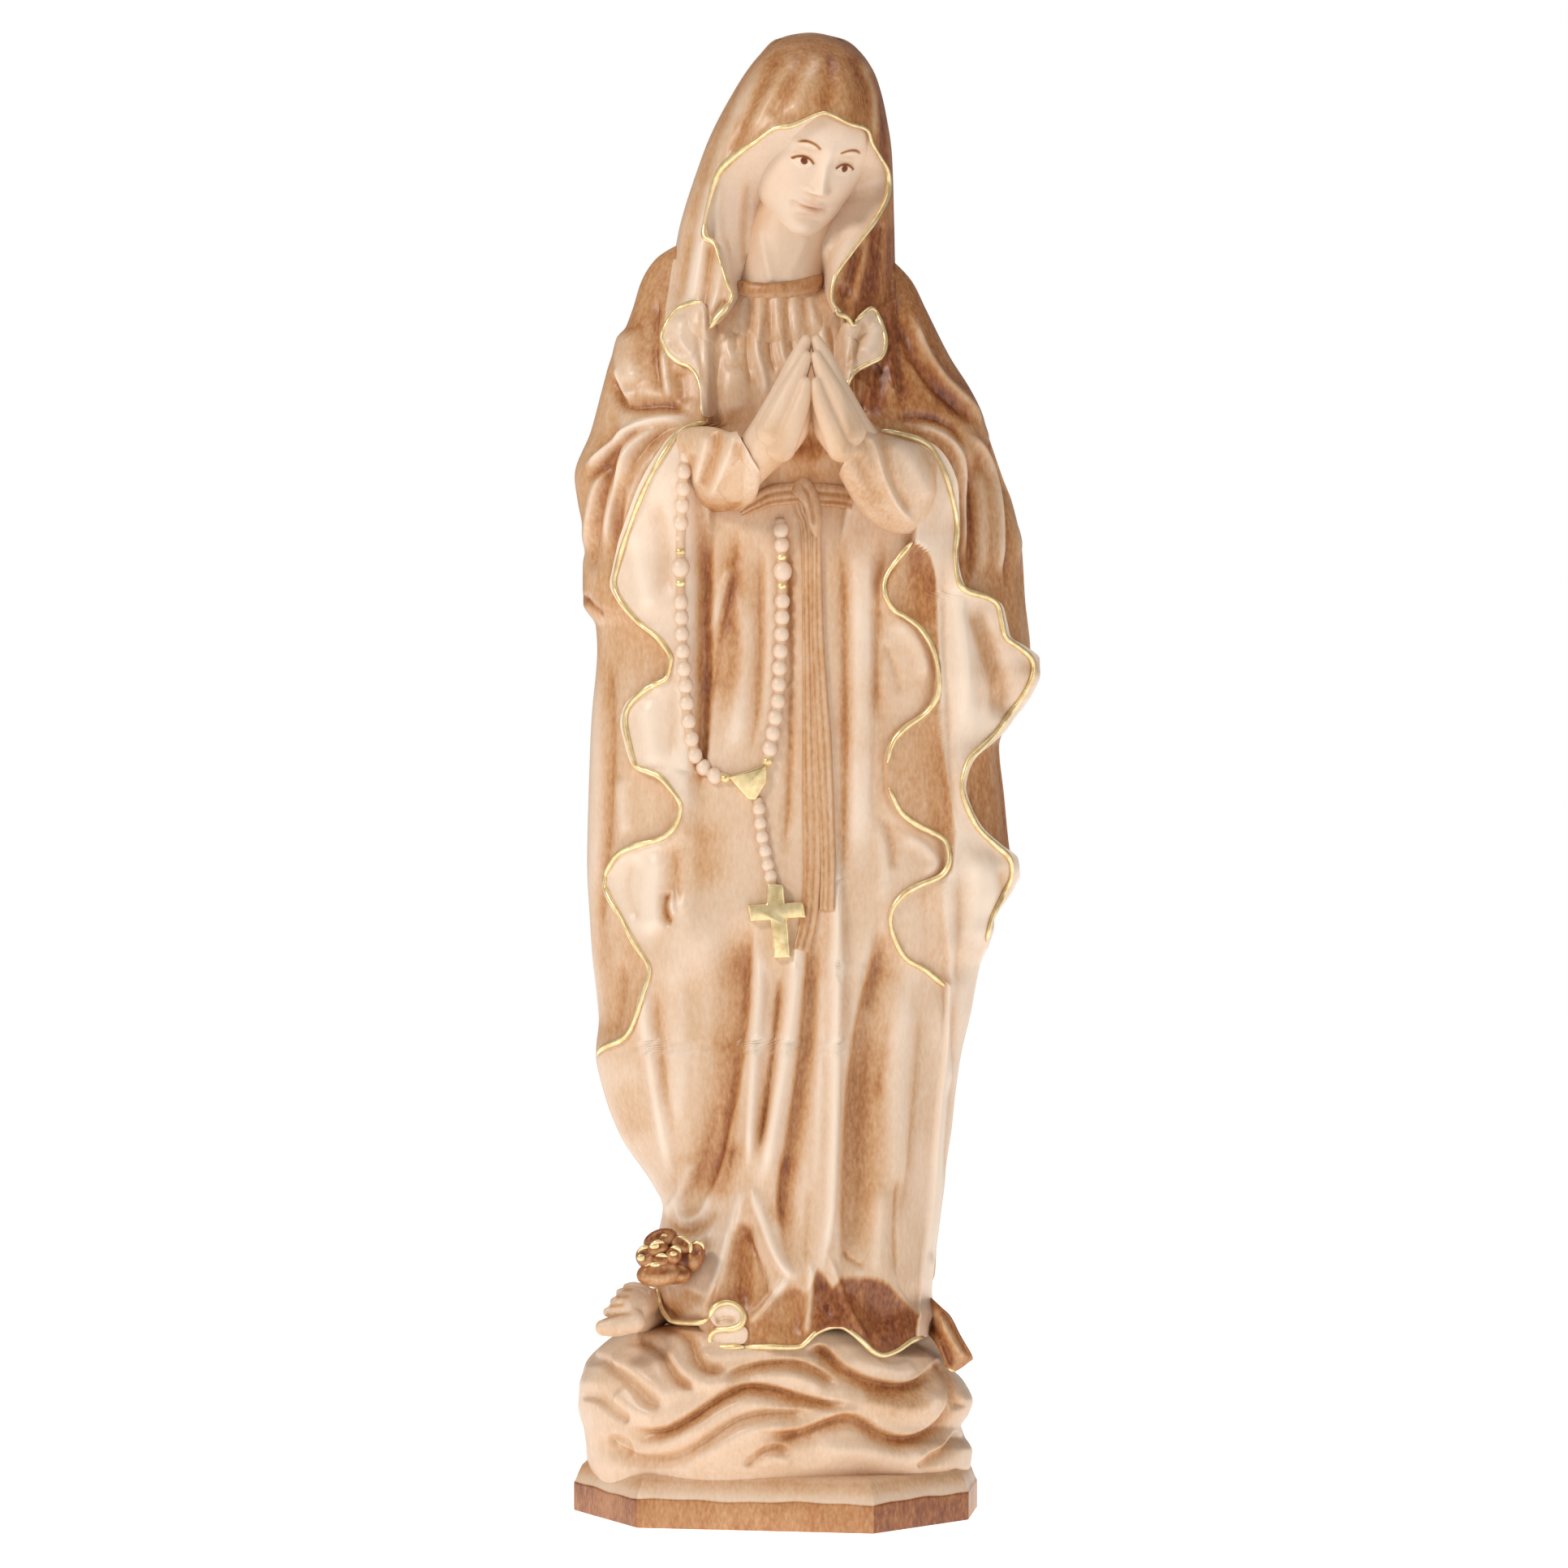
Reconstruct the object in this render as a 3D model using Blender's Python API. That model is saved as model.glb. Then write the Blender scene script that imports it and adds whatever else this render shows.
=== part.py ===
"""Carved madonna statue: maple figure in stained robe, mantle and veil, on a cloud mound and an octagonal plinth.

Lengths in the tables are millimetres; every mesh is written in metres.
Frame: +Z up, the plinth's front face looks along -Y, the origin is the centre of the plinth's underside.
The figure is built facing -Y and then turned by TURN on its plinth.
"""

import math

import bpy
import bmesh
import numpy as np
from mathutils import Matrix, Vector

MM = 0.001
GAP = 0.5  # between carved pieces that lie on each other
MANTLE_GAP = 0.6  # between the robe and the mantle round it
TURN = math.radians(9)  # how far the figure is turned on its plinth

# The figure's front is laid out in elevation as seen from a viewing point, so nearer points are drawn larger.
EYE_X, EYE_Z, EYE_DISTANCE = 2.5, 223.0, 1400.0

PLINTH_WIDTH, PLINTH_DEPTH, PLINTH_HEIGHT = 122.0, 84.0, 10.5
PLINTH_CHAMFER_X, PLINTH_CHAMFER_Y = 25.0, 30.0
MOUND_BASE = PLINTH_HEIGHT + 0.3
HEM_Z = 53.0  # the robe stands on the mound at this height
NECK_Z = 374.0  # the neck rises out of the robe here

DOWEL_R, DOWEL_CLEARANCE = 3.0, 0.3
PEG_R = 1.3

MAPLE = (0.80, 0.62, 0.45)
LIGHT_STAIN = (0.66, 0.43, 0.26)
BROWN_STAIN = (0.42, 0.21, 0.09)
SKIN = (0.80, 0.64, 0.48)
GOLD = (0.85, 0.62, 0.25)
BEECH = (0.72, 0.52, 0.34)

# Height, left edge, right edge, front and back of each level of the robe.
ROBE = [
    (HEM_Z, -42, 48, -38, 34),
    (62, -38, 46, -36, 32),
    (80, -32, 46, -34, 30),
    (100, -31, 47, -33, 29),
    (130, -36, 49, -33, 29),
    (160, -42, 52, -33, 29),
    (200, -46, 55, -32, 28),
    (240, -46, 58, -31, 27),
    (280, -45, 60, -29, 26),
    (310, -45, 57, -28, 26),
    (335, -42, 50, -28, 26),
    (352, -38, 44, -26, 25),
    (363, -27, 33, -22, 19),
    (369, -17, 24, -20, 13),
    (NECK_Z, -12.5, 18.5, -18.5, 8),
]
MANTLE = [
    (74, -34, 48, -36, 37),
    (95, -35, 51, -36, 38),
    (110, -45, 53, -36, 38),
    (125, -52, 55, -36, 38),
    (140, -55.5, 57, -36, 38),
    (165, -56, 61, -37, 38),
    (182, -57, 66.5, -37, 38),
    (197, -58, 74, -37, 38),
    (215, -58, 71, -37, 37),
    (236, -57, 69, -37, 37),
    (257, -56, 80, -36, 36),
    (275, -57, 77.5, -36, 36),
    (290, -60, 76, -36, 36),
    (316, -62, 70, -36, 35),
    (332, -57, 65, -35, 34),
    (347, -53.5, 58, -33, 32),
    (362, -47, 50, -29, 30),
    (375, -41.5, 43, -23, 27),
    (384, -36, 37, -17, 22),
]
# Where the mantle's front edges run: (height, x).
MANTLE_LEFT_EDGE = [
    (74, -34), (130, -53), (140, -54), (144, -49), (150, -44), (158, -41), (165, -39), (172, -42),
    (180, -47.5), (188, -51), (196, -50), (204, -40), (208, -32), (216, -29.5), (226, -26), (236, -23.5),
    (270, -24.5), (296, -25.5), (302, -28), (337, -28), (342, -22), (352, -24), (369, -24),
]
MANTLE_RIGHT_EDGE = [
    (74, 46), (120, 52), (150, 57), (158, 55), (163, 50), (170, 40), (178, 36), (184, 36.5), (190, 42),
    (194, 50), (199, 53), (205, 52), (210, 44), (217, 37), (228, 34.5), (238, 37), (246, 45), (252, 50.5),
    (262, 49.5), (270, 44), (276, 37), (283, 34), (290, 40), (296, 50.5), (306, 51.5), (326, 51), (336, 50),
    (341, 30), (348, 24), (369, 24),
]
VEIL = [
    (369.5, -44, 46, -25, 29),
    (377, -41.5, 41.8, -23, 28),
    (384, -36.5, 36.8, -23, 28),
    (392, -30.2, 36.5, -25, 28),
    (400, -28.2, 36.5, -28, 28),
    (407, -25.8, 36.2, -30, 28.5),
    (415, -23.2, 36, -31.5, 29),
    (422, -20.2, 35.5, -32.5, 29),
    (430, -16.8, 34.3, -32.5, 28.5),
    (435, -14, 33, -31, 27.5),
    (440, -10.2, 31.2, -28.5, 25),
    (445, -7.5, 29.2, -24, 21),
    (450, -3.8, 25.5, -17, 15),
    (453, -0.5, 21.5, -10.5, 9),
    (454.8, 6, 15.5, -4.5, 4),
]
HEAD = [
    (NECK_Z + 0.4, -10.5, 16, -17, 6),
    (384, -9.5, 16, -17, 6),
    (390, -8, 18.5, -19, 8),
    (394, -6, 22, -25, 10),
    (402, -8, 26, -28, 12),
    (412, -9, 29, -29, 14),
    (422, -9, 30, -28.5, 14),
    (432, -7.5, 29.5, -26, 14),
    (440, -3, 27, -21, 12),
    (446, 4, 20, -12, 6),
]
# A plain, regular face: (across from the middle, height, half width, half height, how far it stands out).
FACE_X = 14.0
FACE = [
    (0, 413.5, 1.7, 6.0, 1.7),
    (0, 407.6, 2.4, 2.4, 2.6),
    (-6.6, 414.6, 3.6, 2.4, -1.5),
    (6.6, 414.6, 3.6, 2.4, -1.5),
    (-6.2, 419.0, 4.5, 1.6, 0.7),
    (6.2, 419.0, 4.5, 1.6, 0.7),
    (0, 402.2, 3.2, 1.0, 1.1),
    (0, 396.4, 3.4, 2.2, 1.2),
]
MOUND = [
    (MOUND_BASE, -57, 56, -38, 37),
    (18, -58, 57, -40, 38),
    (28, -60, 58, -41, 39),
    (39, -60, 57, -41, 39),
    (47, -57, 54, -41, 38),
    (HEM_Z - 0.4, -55, 51, -40, 37),
]
ROBE_HEIGHTS = [HEM_Z, 57, 64, 76, 92, 112, 136, 165, 190, 215, 240, 265, 290, 315, 337, 350, 358, 364, 369]
ROBE_HEIGHTS += [NECK_Z]
ROBE_POWER, MANTLE_POWER, MOUND_POWER, VEIL_POWER, HEAD_POWER = 2.3, 2.4, 2.6, 2.2, 2.1

# ---------------------------------------------------------------- curves and sections


def smooth(points, at):
    """Monotone cubic through (position, value) points, which makes no overshoot between them."""
    xs, ys = (np.array([p[i] for p in points], float) for i in (0, 1))
    h = np.diff(xs)
    slope = np.diff(ys) / h
    tangent = np.zeros(len(xs))
    tangent[0], tangent[-1] = slope[0], slope[-1]
    for i in range(1, len(xs) - 1):
        if slope[i - 1] * slope[i] > 0:
            w1, w2 = 2 * h[i] + h[i - 1], h[i] + 2 * h[i - 1]
            tangent[i] = (w1 + w2) / (w1 / slope[i - 1] + w2 / slope[i])
    at = np.clip(np.asarray(at, float), xs[0], xs[-1])
    i = np.clip(np.searchsorted(xs, at, side="right") - 1, 0, len(h) - 1)
    t = (at - xs[i]) / h[i]
    return (
        (1 + 2 * t) * (1 - t) ** 2 * ys[i]
        + t * (1 - t) ** 2 * h[i] * tangent[i]
        + t * t * (3 - 2 * t) * ys[i + 1]
        + t * t * (t - 1) * h[i] * tangent[i + 1]
    )


def level(table, z):
    """(left, right, front, back) of a table at a height."""
    return [float(smooth([(row[0], row[k]) for row in table], z)) for k in range(1, 5)]


def ring(table, z, angles, power, grow=0.0):
    """Points of the level at height z, at angles from 0 at the front, growing towards +X."""
    left, right, front, back = level(table, z)
    middle, half = (left + right) / 2, (right - left) / 2 + grow
    s, c = np.sin(angles), np.cos(angles)
    e = 2 / power
    x = middle + half * np.sign(s) * np.abs(s) ** e
    y = np.where(c > 0, (front - grow) * np.abs(c) ** e, (back + grow) * np.abs(c) ** e)
    return np.stack([x, y, np.full_like(x, z)], axis=1)


def front_y(table, x, z, power):
    """Depth of a level's front at x."""
    left, right, front, _ = level(table, z)
    u = min(abs(x - (left + right) / 2) / ((right - left) / 2), 0.999)
    return front * (1 - u**power) ** (1 / power)


def at(x, y, z):
    """A point drawn at (x, z) in elevation, put at depth y."""
    k = 1 + y / EYE_DISTANCE
    return np.array([EYE_X + (x - EYE_X) * k, y, EYE_Z + (z - EYE_Z) * k])


def on_robe(x, z, proud):
    """A point drawn at (x, z), standing proud of the robe's front by that much."""
    y = front_y(ROBE, x, z, ROBE_POWER)
    placed = at(x, y, z)
    return at(x, front_y(ROBE, placed[0], placed[2], ROBE_POWER) - proud, z)


def on_mantle(x, z, proud):
    y = front_y(MANTLE, x, z, MANTLE_POWER)
    placed = at(x, y, z)
    return at(x, front_y(MANTLE, placed[0], placed[2], MANTLE_POWER) - proud, z)


def curve_through(points, count):
    """Evenly spaced points on a smooth curve through the given ones."""
    points = np.array(points, float)
    length = np.concatenate([[0], np.cumsum(np.linalg.norm(np.diff(points, axis=0), axis=1))])
    where = np.linspace(0, length[-1], count)
    return np.stack([smooth(list(zip(length, points[:, k])), where) for k in range(3)], axis=1)


# ---------------------------------------------------------------- solids


def material(name, colour, roughness, metallic=0.0):
    made = bpy.data.materials.new(name)
    made.use_nodes = True
    shader = made.node_tree.nodes["Principled BSDF"]
    shader.inputs["Base Color"].default_value = (*colour, 1)
    shader.inputs["Roughness"].default_value = roughness
    shader.inputs["Metallic"].default_value = metallic
    return made


def closed_mesh(name, bm):
    """The bmesh, in millimetres, as a mesh in metres with its faces turned outwards."""
    bmesh.ops.recalc_face_normals(bm, faces=bm.faces)
    if bm.calc_volume(signed=True) < 0:
        bmesh.ops.reverse_faces(bm, faces=bm.faces)
    bmesh.ops.scale(bm, vec=(MM, MM, MM), verts=bm.verts)
    mesh = bpy.data.meshes.new(name)
    bm.to_mesh(mesh)
    bm.free()
    return mesh


def finish(name, bm, finish_material, parent, angle=40):
    """Makes the bmesh, in millimetres, a named object in metres."""
    mesh = closed_mesh(name, bm)
    mesh.shade_smooth()
    mesh.set_sharp_from_angle(angle=math.radians(angle))
    made = bpy.data.objects.new(name, mesh)
    made.data.materials.append(finish_material)
    made.parent = parent
    bpy.context.scene.collection.objects.link(made)
    return made


def loft(name, sections, finish_material, parent, angle=40):
    """A closed solid through closed sections of equal point counts, capped at both ends."""
    bm = bmesh.new()
    rows = [[bm.verts.new(p) for p in section] for section in sections]
    count = len(rows[0])
    for lower, upper in zip(rows, rows[1:]):
        for i in range(count):
            j = (i + 1) % count
            bm.faces.new((lower[i], lower[j], upper[j], upper[i]))
    for end in (rows[0], rows[-1]):
        bm.faces.new(end)
    bmesh.ops.triangulate(bm, faces=[f for f in bm.faces if len(f.verts) > 4])
    return finish(name, bm, finish_material, parent, angle)


def tube(name, path, radii, finish_material, parent, sides=8):
    """A round bar along a path, with a radius at each point."""
    path = np.asarray(path, float)
    sections = []
    for i, (point, radius) in enumerate(zip(path, radii)):
        along = path[min(i + 1, len(path) - 1)] - path[max(i - 1, 0)]
        along /= np.linalg.norm(along)
        across = np.cross(along, (0, 1, 0))
        across /= np.linalg.norm(across)
        deep = np.cross(along, across)
        turn = np.arange(sides) * 2 * math.pi / sides
        sections.append([point + radius * (math.cos(a) * across + math.sin(a) * deep) for a in turn])
    return loft(name, sections, finish_material, parent, angle=60)


def band(name, spine, half_width, thick, place, finish_material, parent):
    """A flat strip laid on a surface: spine is (x, z) in elevation, place puts a point on the surface."""
    sections = []
    for i, (x, z) in enumerate(spine):
        ahead, behind = spine[min(i + 1, len(spine) - 1)], spine[max(i - 1, 0)]
        along = np.array([ahead[0] - behind[0], ahead[1] - behind[1]], float)
        side = np.array([-along[1], along[0]]) / np.linalg.norm(along) * half_width
        corners = [(x - side[0], z - side[1]), (x + side[0], z + side[1])]
        section = [place(*corners[0], GAP), place(*corners[1], GAP)]
        section += [place(*corners[1], GAP + thick), place(*corners[0], GAP + thick)]
        sections.append(section)
    return loft(name, sections, finish_material, parent)


def plate(name, outline, thick, place, finish_material, parent):
    """A flat piece of any outline, (x, z) in elevation, laid on a surface at its middle's depth."""
    depth = min(place(x, z, GAP)[1] for x, z in outline)
    sections = [[at(x, depth - t, z) for x, z in outline] for t in (0, thick)]
    return loft(name, sections, finish_material, parent, angle=30)


def ellipse_section(centre, half_deep, half_up, sides=16):
    """An ellipse across a limb that runs along X."""
    turn = np.arange(sides) * 2 * math.pi / sides
    return [(centre[0], centre[1] + half_deep * math.cos(a), centre[2] + half_up * math.sin(a)) for a in turn]


def pointing(start, end):
    """Places a +Z rod between two points given in mm."""
    a, b = Vector(start) * MM, Vector(end) * MM
    turn = (b - a).to_track_quat("Z", "Y").to_matrix().to_4x4()
    return Matrix.Translation((a + b) / 2) @ turn


def dowel(name, start, end, radius, finish_material, parent):
    bm = bmesh.new()
    length = float(np.linalg.norm(np.array(end, float) - np.array(start, float)))
    bmesh.ops.create_cone(bm, cap_ends=True, segments=12, radius1=radius, radius2=radius, depth=length)
    made = finish(name, bm, finish_material, parent)
    made.matrix_local = pointing(start, end)
    return made


# ---------------------------------------------------------------- the pieces


def make_plinth(look, parent):
    """Octagonal board with a rounded upper edge."""
    w, d = PLINTH_WIDTH / 2, PLINTH_DEPTH / 2
    a, b = w - PLINTH_CHAMFER_X, d - PLINTH_CHAMFER_Y
    outline = [(-a, -d), (a, -d), (w, -b), (w, b), (a, d), (-a, d), (-w, b), (-w, -b)]
    rounds = [(0, 0.0), (PLINTH_HEIGHT - 1.6, 0.0), (PLINTH_HEIGHT - 0.5, 0.5), (PLINTH_HEIGHT, 1.6)]
    sections = []
    for z, inset in rounds:
        sections.append([(x * (1 - inset / w), y * (1 - inset / d), z) for x, y in outline])
    return loft("plinth", sections, look, parent, angle=30)


def make_mound(look, parent):
    """Cloud with rolling swells around its side."""
    angles = np.linspace(0, 2 * math.pi, 44, endpoint=False)
    sections = []
    heights = [MOUND_BASE, 15, 20, 26, 32, 38, 44, 49, HEM_Z - 0.4]
    for z in heights:
        points = ring(MOUND, z, angles, MOUND_POWER)
        rise = (z - MOUND_BASE) / (HEM_Z - MOUND_BASE)
        swell = np.sin(3 * angles + 7 * rise) * 1.3 * math.sin(math.pi * rise)
        points[:, :2] *= (1 - np.abs(swell) / 55)[:, None]
        sections.append(points)
    return loft("cloud_mound", sections, look, parent)


def robe_sections(grow=0.0):
    angles = np.linspace(0, 2 * math.pi, 36, endpoint=False)
    return [ring(ROBE, z, angles, ROBE_POWER, grow) for z in ROBE_HEIGHTS]


def make_robe(look, parent):
    return loft("robe", robe_sections(), look, parent)


def make_mantle(look, parent):
    """Cloak round the robe, hollowed out for it and open down the front between its two wavy edges."""
    angles = np.linspace(0, 2 * math.pi, 36, endpoint=False)
    levels = [74, 90, 110, 125, 140, 165, 182, 197, 215, 236, 257, 275, 290, 316, 337, 350, 358, 364, 369]
    mantle = loft("mantle", [ring(MANTLE, z, angles, MANTLE_POWER) for z in levels], look, parent)
    cutter(mantle, "robe_hollow", robe_sections(MANTLE_GAP)[2:])
    outline = [(x, z) for z, x in MANTLE_LEFT_EDGE] + [(x, z) for z, x in reversed(MANTLE_RIGHT_EDGE)]
    outline[0], outline[-1] = (-34, 70), (46, 70)
    middle = len(MANTLE_LEFT_EDGE)
    outline[middle - 1], outline[middle] = (-24, 372), (24, 372)
    cutter(mantle, "front_opening", [[(x, y, z) for x, z in outline] for y in (-60, -4)])
    return mantle


def head_sections(grow, features):
    angles = np.linspace(0, 2 * math.pi, 40, endpoint=False)
    heights = [HEAD[0][0], 384, 390, 393, 395.5, 398, 400.5, 402.2, 404, 406.5, 408.5, 411.5, 414.5, 417, 419.5]
    heights += [423, 428, 433, 438, 442, 446]
    if not features:
        heights = [row[0] for row in HEAD]
    sections = []
    for z in heights:
        points = ring(HEAD, z, angles, HEAD_POWER, grow)
        if features:
            front = points[:, 1] < -8
            for across, height, wide, tall, out in FACE:
                away = ((points[:, 0] - FACE_X - across) / wide) ** 2 + ((z - height) / tall) ** 2
                points[:, 1] -= np.where(front, out * np.exp(-away), 0)
        sections.append(points)
    return sections


def make_head(look, parent):
    return loft("head_and_neck", head_sections(0, True), look, parent, angle=60)


def make_veil(look, parent):
    """Hood over the head and shoulders, hollowed out for the head and neck and open over the face."""
    angles = np.linspace(0, 2 * math.pi, 40, endpoint=False)
    heights = [VEIL[0][0], 377, 384, 392, 400, 410, 422, 430, 436, 441, 446, 450, 453, 454.8]
    veil = loft("veil", [ring(VEIL, z, angles, VEIL_POWER) for z in heights], look, parent)
    collar = [ring(ROBE, z, angles, ROBE_POWER, GAP) for z in (366, 369, NECK_Z)]
    cutter(veil, "head_hollow", collar + head_sections(0.6, False)[1:])
    outline = [
        (-22, 392), (-21, 401), (-17.8, 411), (-12.8, 416.5), (-6.5, 421), (-0.3, 425.3), (4.8, 426), (12.3, 429.3),
        (16, 429.8), (22.3, 426.8), (28, 424.8), (29.8, 420.3), (32.3, 416), (34.3, 412.3), (34.8, 407.3),
        (33.5, 402.3), (29.8, 396), (23.5, 387.3), (19.8, 382.3), (17.5, 375), (17.5, 362), (-14, 362),
        (-14, 373), (-15.3, 378.5), (-19, 388),
    ]
    drawn = np.array([at(x, -27, z) for x, z in outline])
    sections = []
    for y in (-60, -5):
        drawn[:, 1] = y
        sections.append(drawn.copy())
    cutter(veil, "face_opening", sections)
    return veil


def cutter(target, name, sections):
    """Cuts a lofted hollow out of a piece."""
    bm = bmesh.new()
    rows = [[bm.verts.new(p) for p in section] for section in sections]
    count = len(rows[0])
    for lower, upper in zip(rows, rows[1:]):
        for i in range(count):
            j = (i + 1) % count
            bm.faces.new((lower[i], lower[j], upper[j], upper[i]))
    for end in (rows[0], rows[-1]):
        bm.faces.new(end)
    cut_with(target, name, bm, target.parent)


def cut_with(target, name, bm, frame, placed=None):
    tool = bpy.data.objects.new(name, closed_mesh(name, bm))
    tool.hide_render = True
    tool.display_type = "WIRE"
    tool.parent = frame
    if placed:
        tool.matrix_local = placed
    bpy.context.scene.collection.objects.link(tool)
    cut = target.modifiers.new(name, "BOOLEAN")
    cut.operation = "DIFFERENCE"
    cut.solver = "EXACT"
    cut.object = tool


def bore(target, frame, start, end, radius):
    """Round hole from start to end, in the figure's millimetres."""
    bm = bmesh.new()
    length = float(np.linalg.norm(np.subtract(end, start)))
    bmesh.ops.create_cone(bm, cap_ends=True, segments=16, radius1=radius, radius2=radius, depth=length)
    cut_with(target, target.name + "_bore", bm, frame, pointing(start, end))


def sleeve(name, rows, look, parent):
    """Bell sleeve lying on the robe's front: rows of x, lowest z, highest z and foremost y."""
    sections = []
    for x, low, high, front in rows:
        section = []
        for t in np.linspace(0, math.pi, 13):
            z = (low + high) / 2 + (high - low) / 2 * math.cos(t)
            back = front_y(ROBE, x, z, ROBE_POWER) - MANTLE_GAP
            section.append((x, back + (front - back) * math.sin(t) ** 0.8, z))
        for t in np.linspace(0, 1, 7)[1:-1]:
            z = low + (high - low) * t
            section.append((x, front_y(ROBE, x, z, ROBE_POWER) - MANTLE_GAP, z))
        sections.append(section)
    return loft(name, sections, look, parent)


def hand(name, rows, look, parent):
    """Flat praying hand: rows of height, left, right, front and back."""
    angles = np.linspace(0, 2 * math.pi, 20, endpoint=False)
    across = np.sign(np.sin(angles)) * np.abs(np.sin(angles)) ** 0.75
    deep = np.sign(np.cos(angles)) * np.abs(np.cos(angles)) ** 0.75
    sections = []
    for z in np.linspace(rows[0][0], rows[-1][0], 14):
        left, right, front, back = level(rows, z)
        x = (left + right) / 2 + (right - left) / 2 * across
        y = (front + back) / 2 + (front - back) / 2 * deep
        sections.append(np.stack([x, y, np.full_like(x, z)], axis=1))
    return loft(name, sections, look, parent)


def pebble(name, centre, radii, look, parent, lobes=0, depth=0.0):
    """Rounded lump, its outline scalloped if it has lobes."""
    bm = bmesh.new()
    bmesh.ops.create_uvsphere(bm, u_segments=20, v_segments=12, radius=1)
    for vert in bm.verts:
        around = math.atan2(vert.co.y, vert.co.x)
        scallop = 1 - depth * (0.5 + 0.5 * math.cos(lobes * around)) * math.hypot(vert.co.x, vert.co.y)
        x, y, z = vert.co
        vert.co = (
            centre[0] + radii[0] * x * scallop,
            centre[1] - radii[1] * z,
            centre[2] + radii[2] * y * scallop,
        )
    return finish(name, bm, look, parent, angle=60)


def beads(name, path, pitch, look, parent):
    """A string of beads carved as one piece: the cord swells at each bead."""
    path = np.array(path, float)
    length = float(np.linalg.norm(np.diff(path, axis=0), axis=1).sum())
    count = max(1, round(length / pitch))
    smooth_path = curve_through(path, count * 4 + 1)
    radii = [0.75 + 1.25 * abs(math.sin(math.pi * i / 4)) for i in range(len(smooth_path))]
    return tube(name, smooth_path, radii, look, parent, sides=6)


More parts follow.
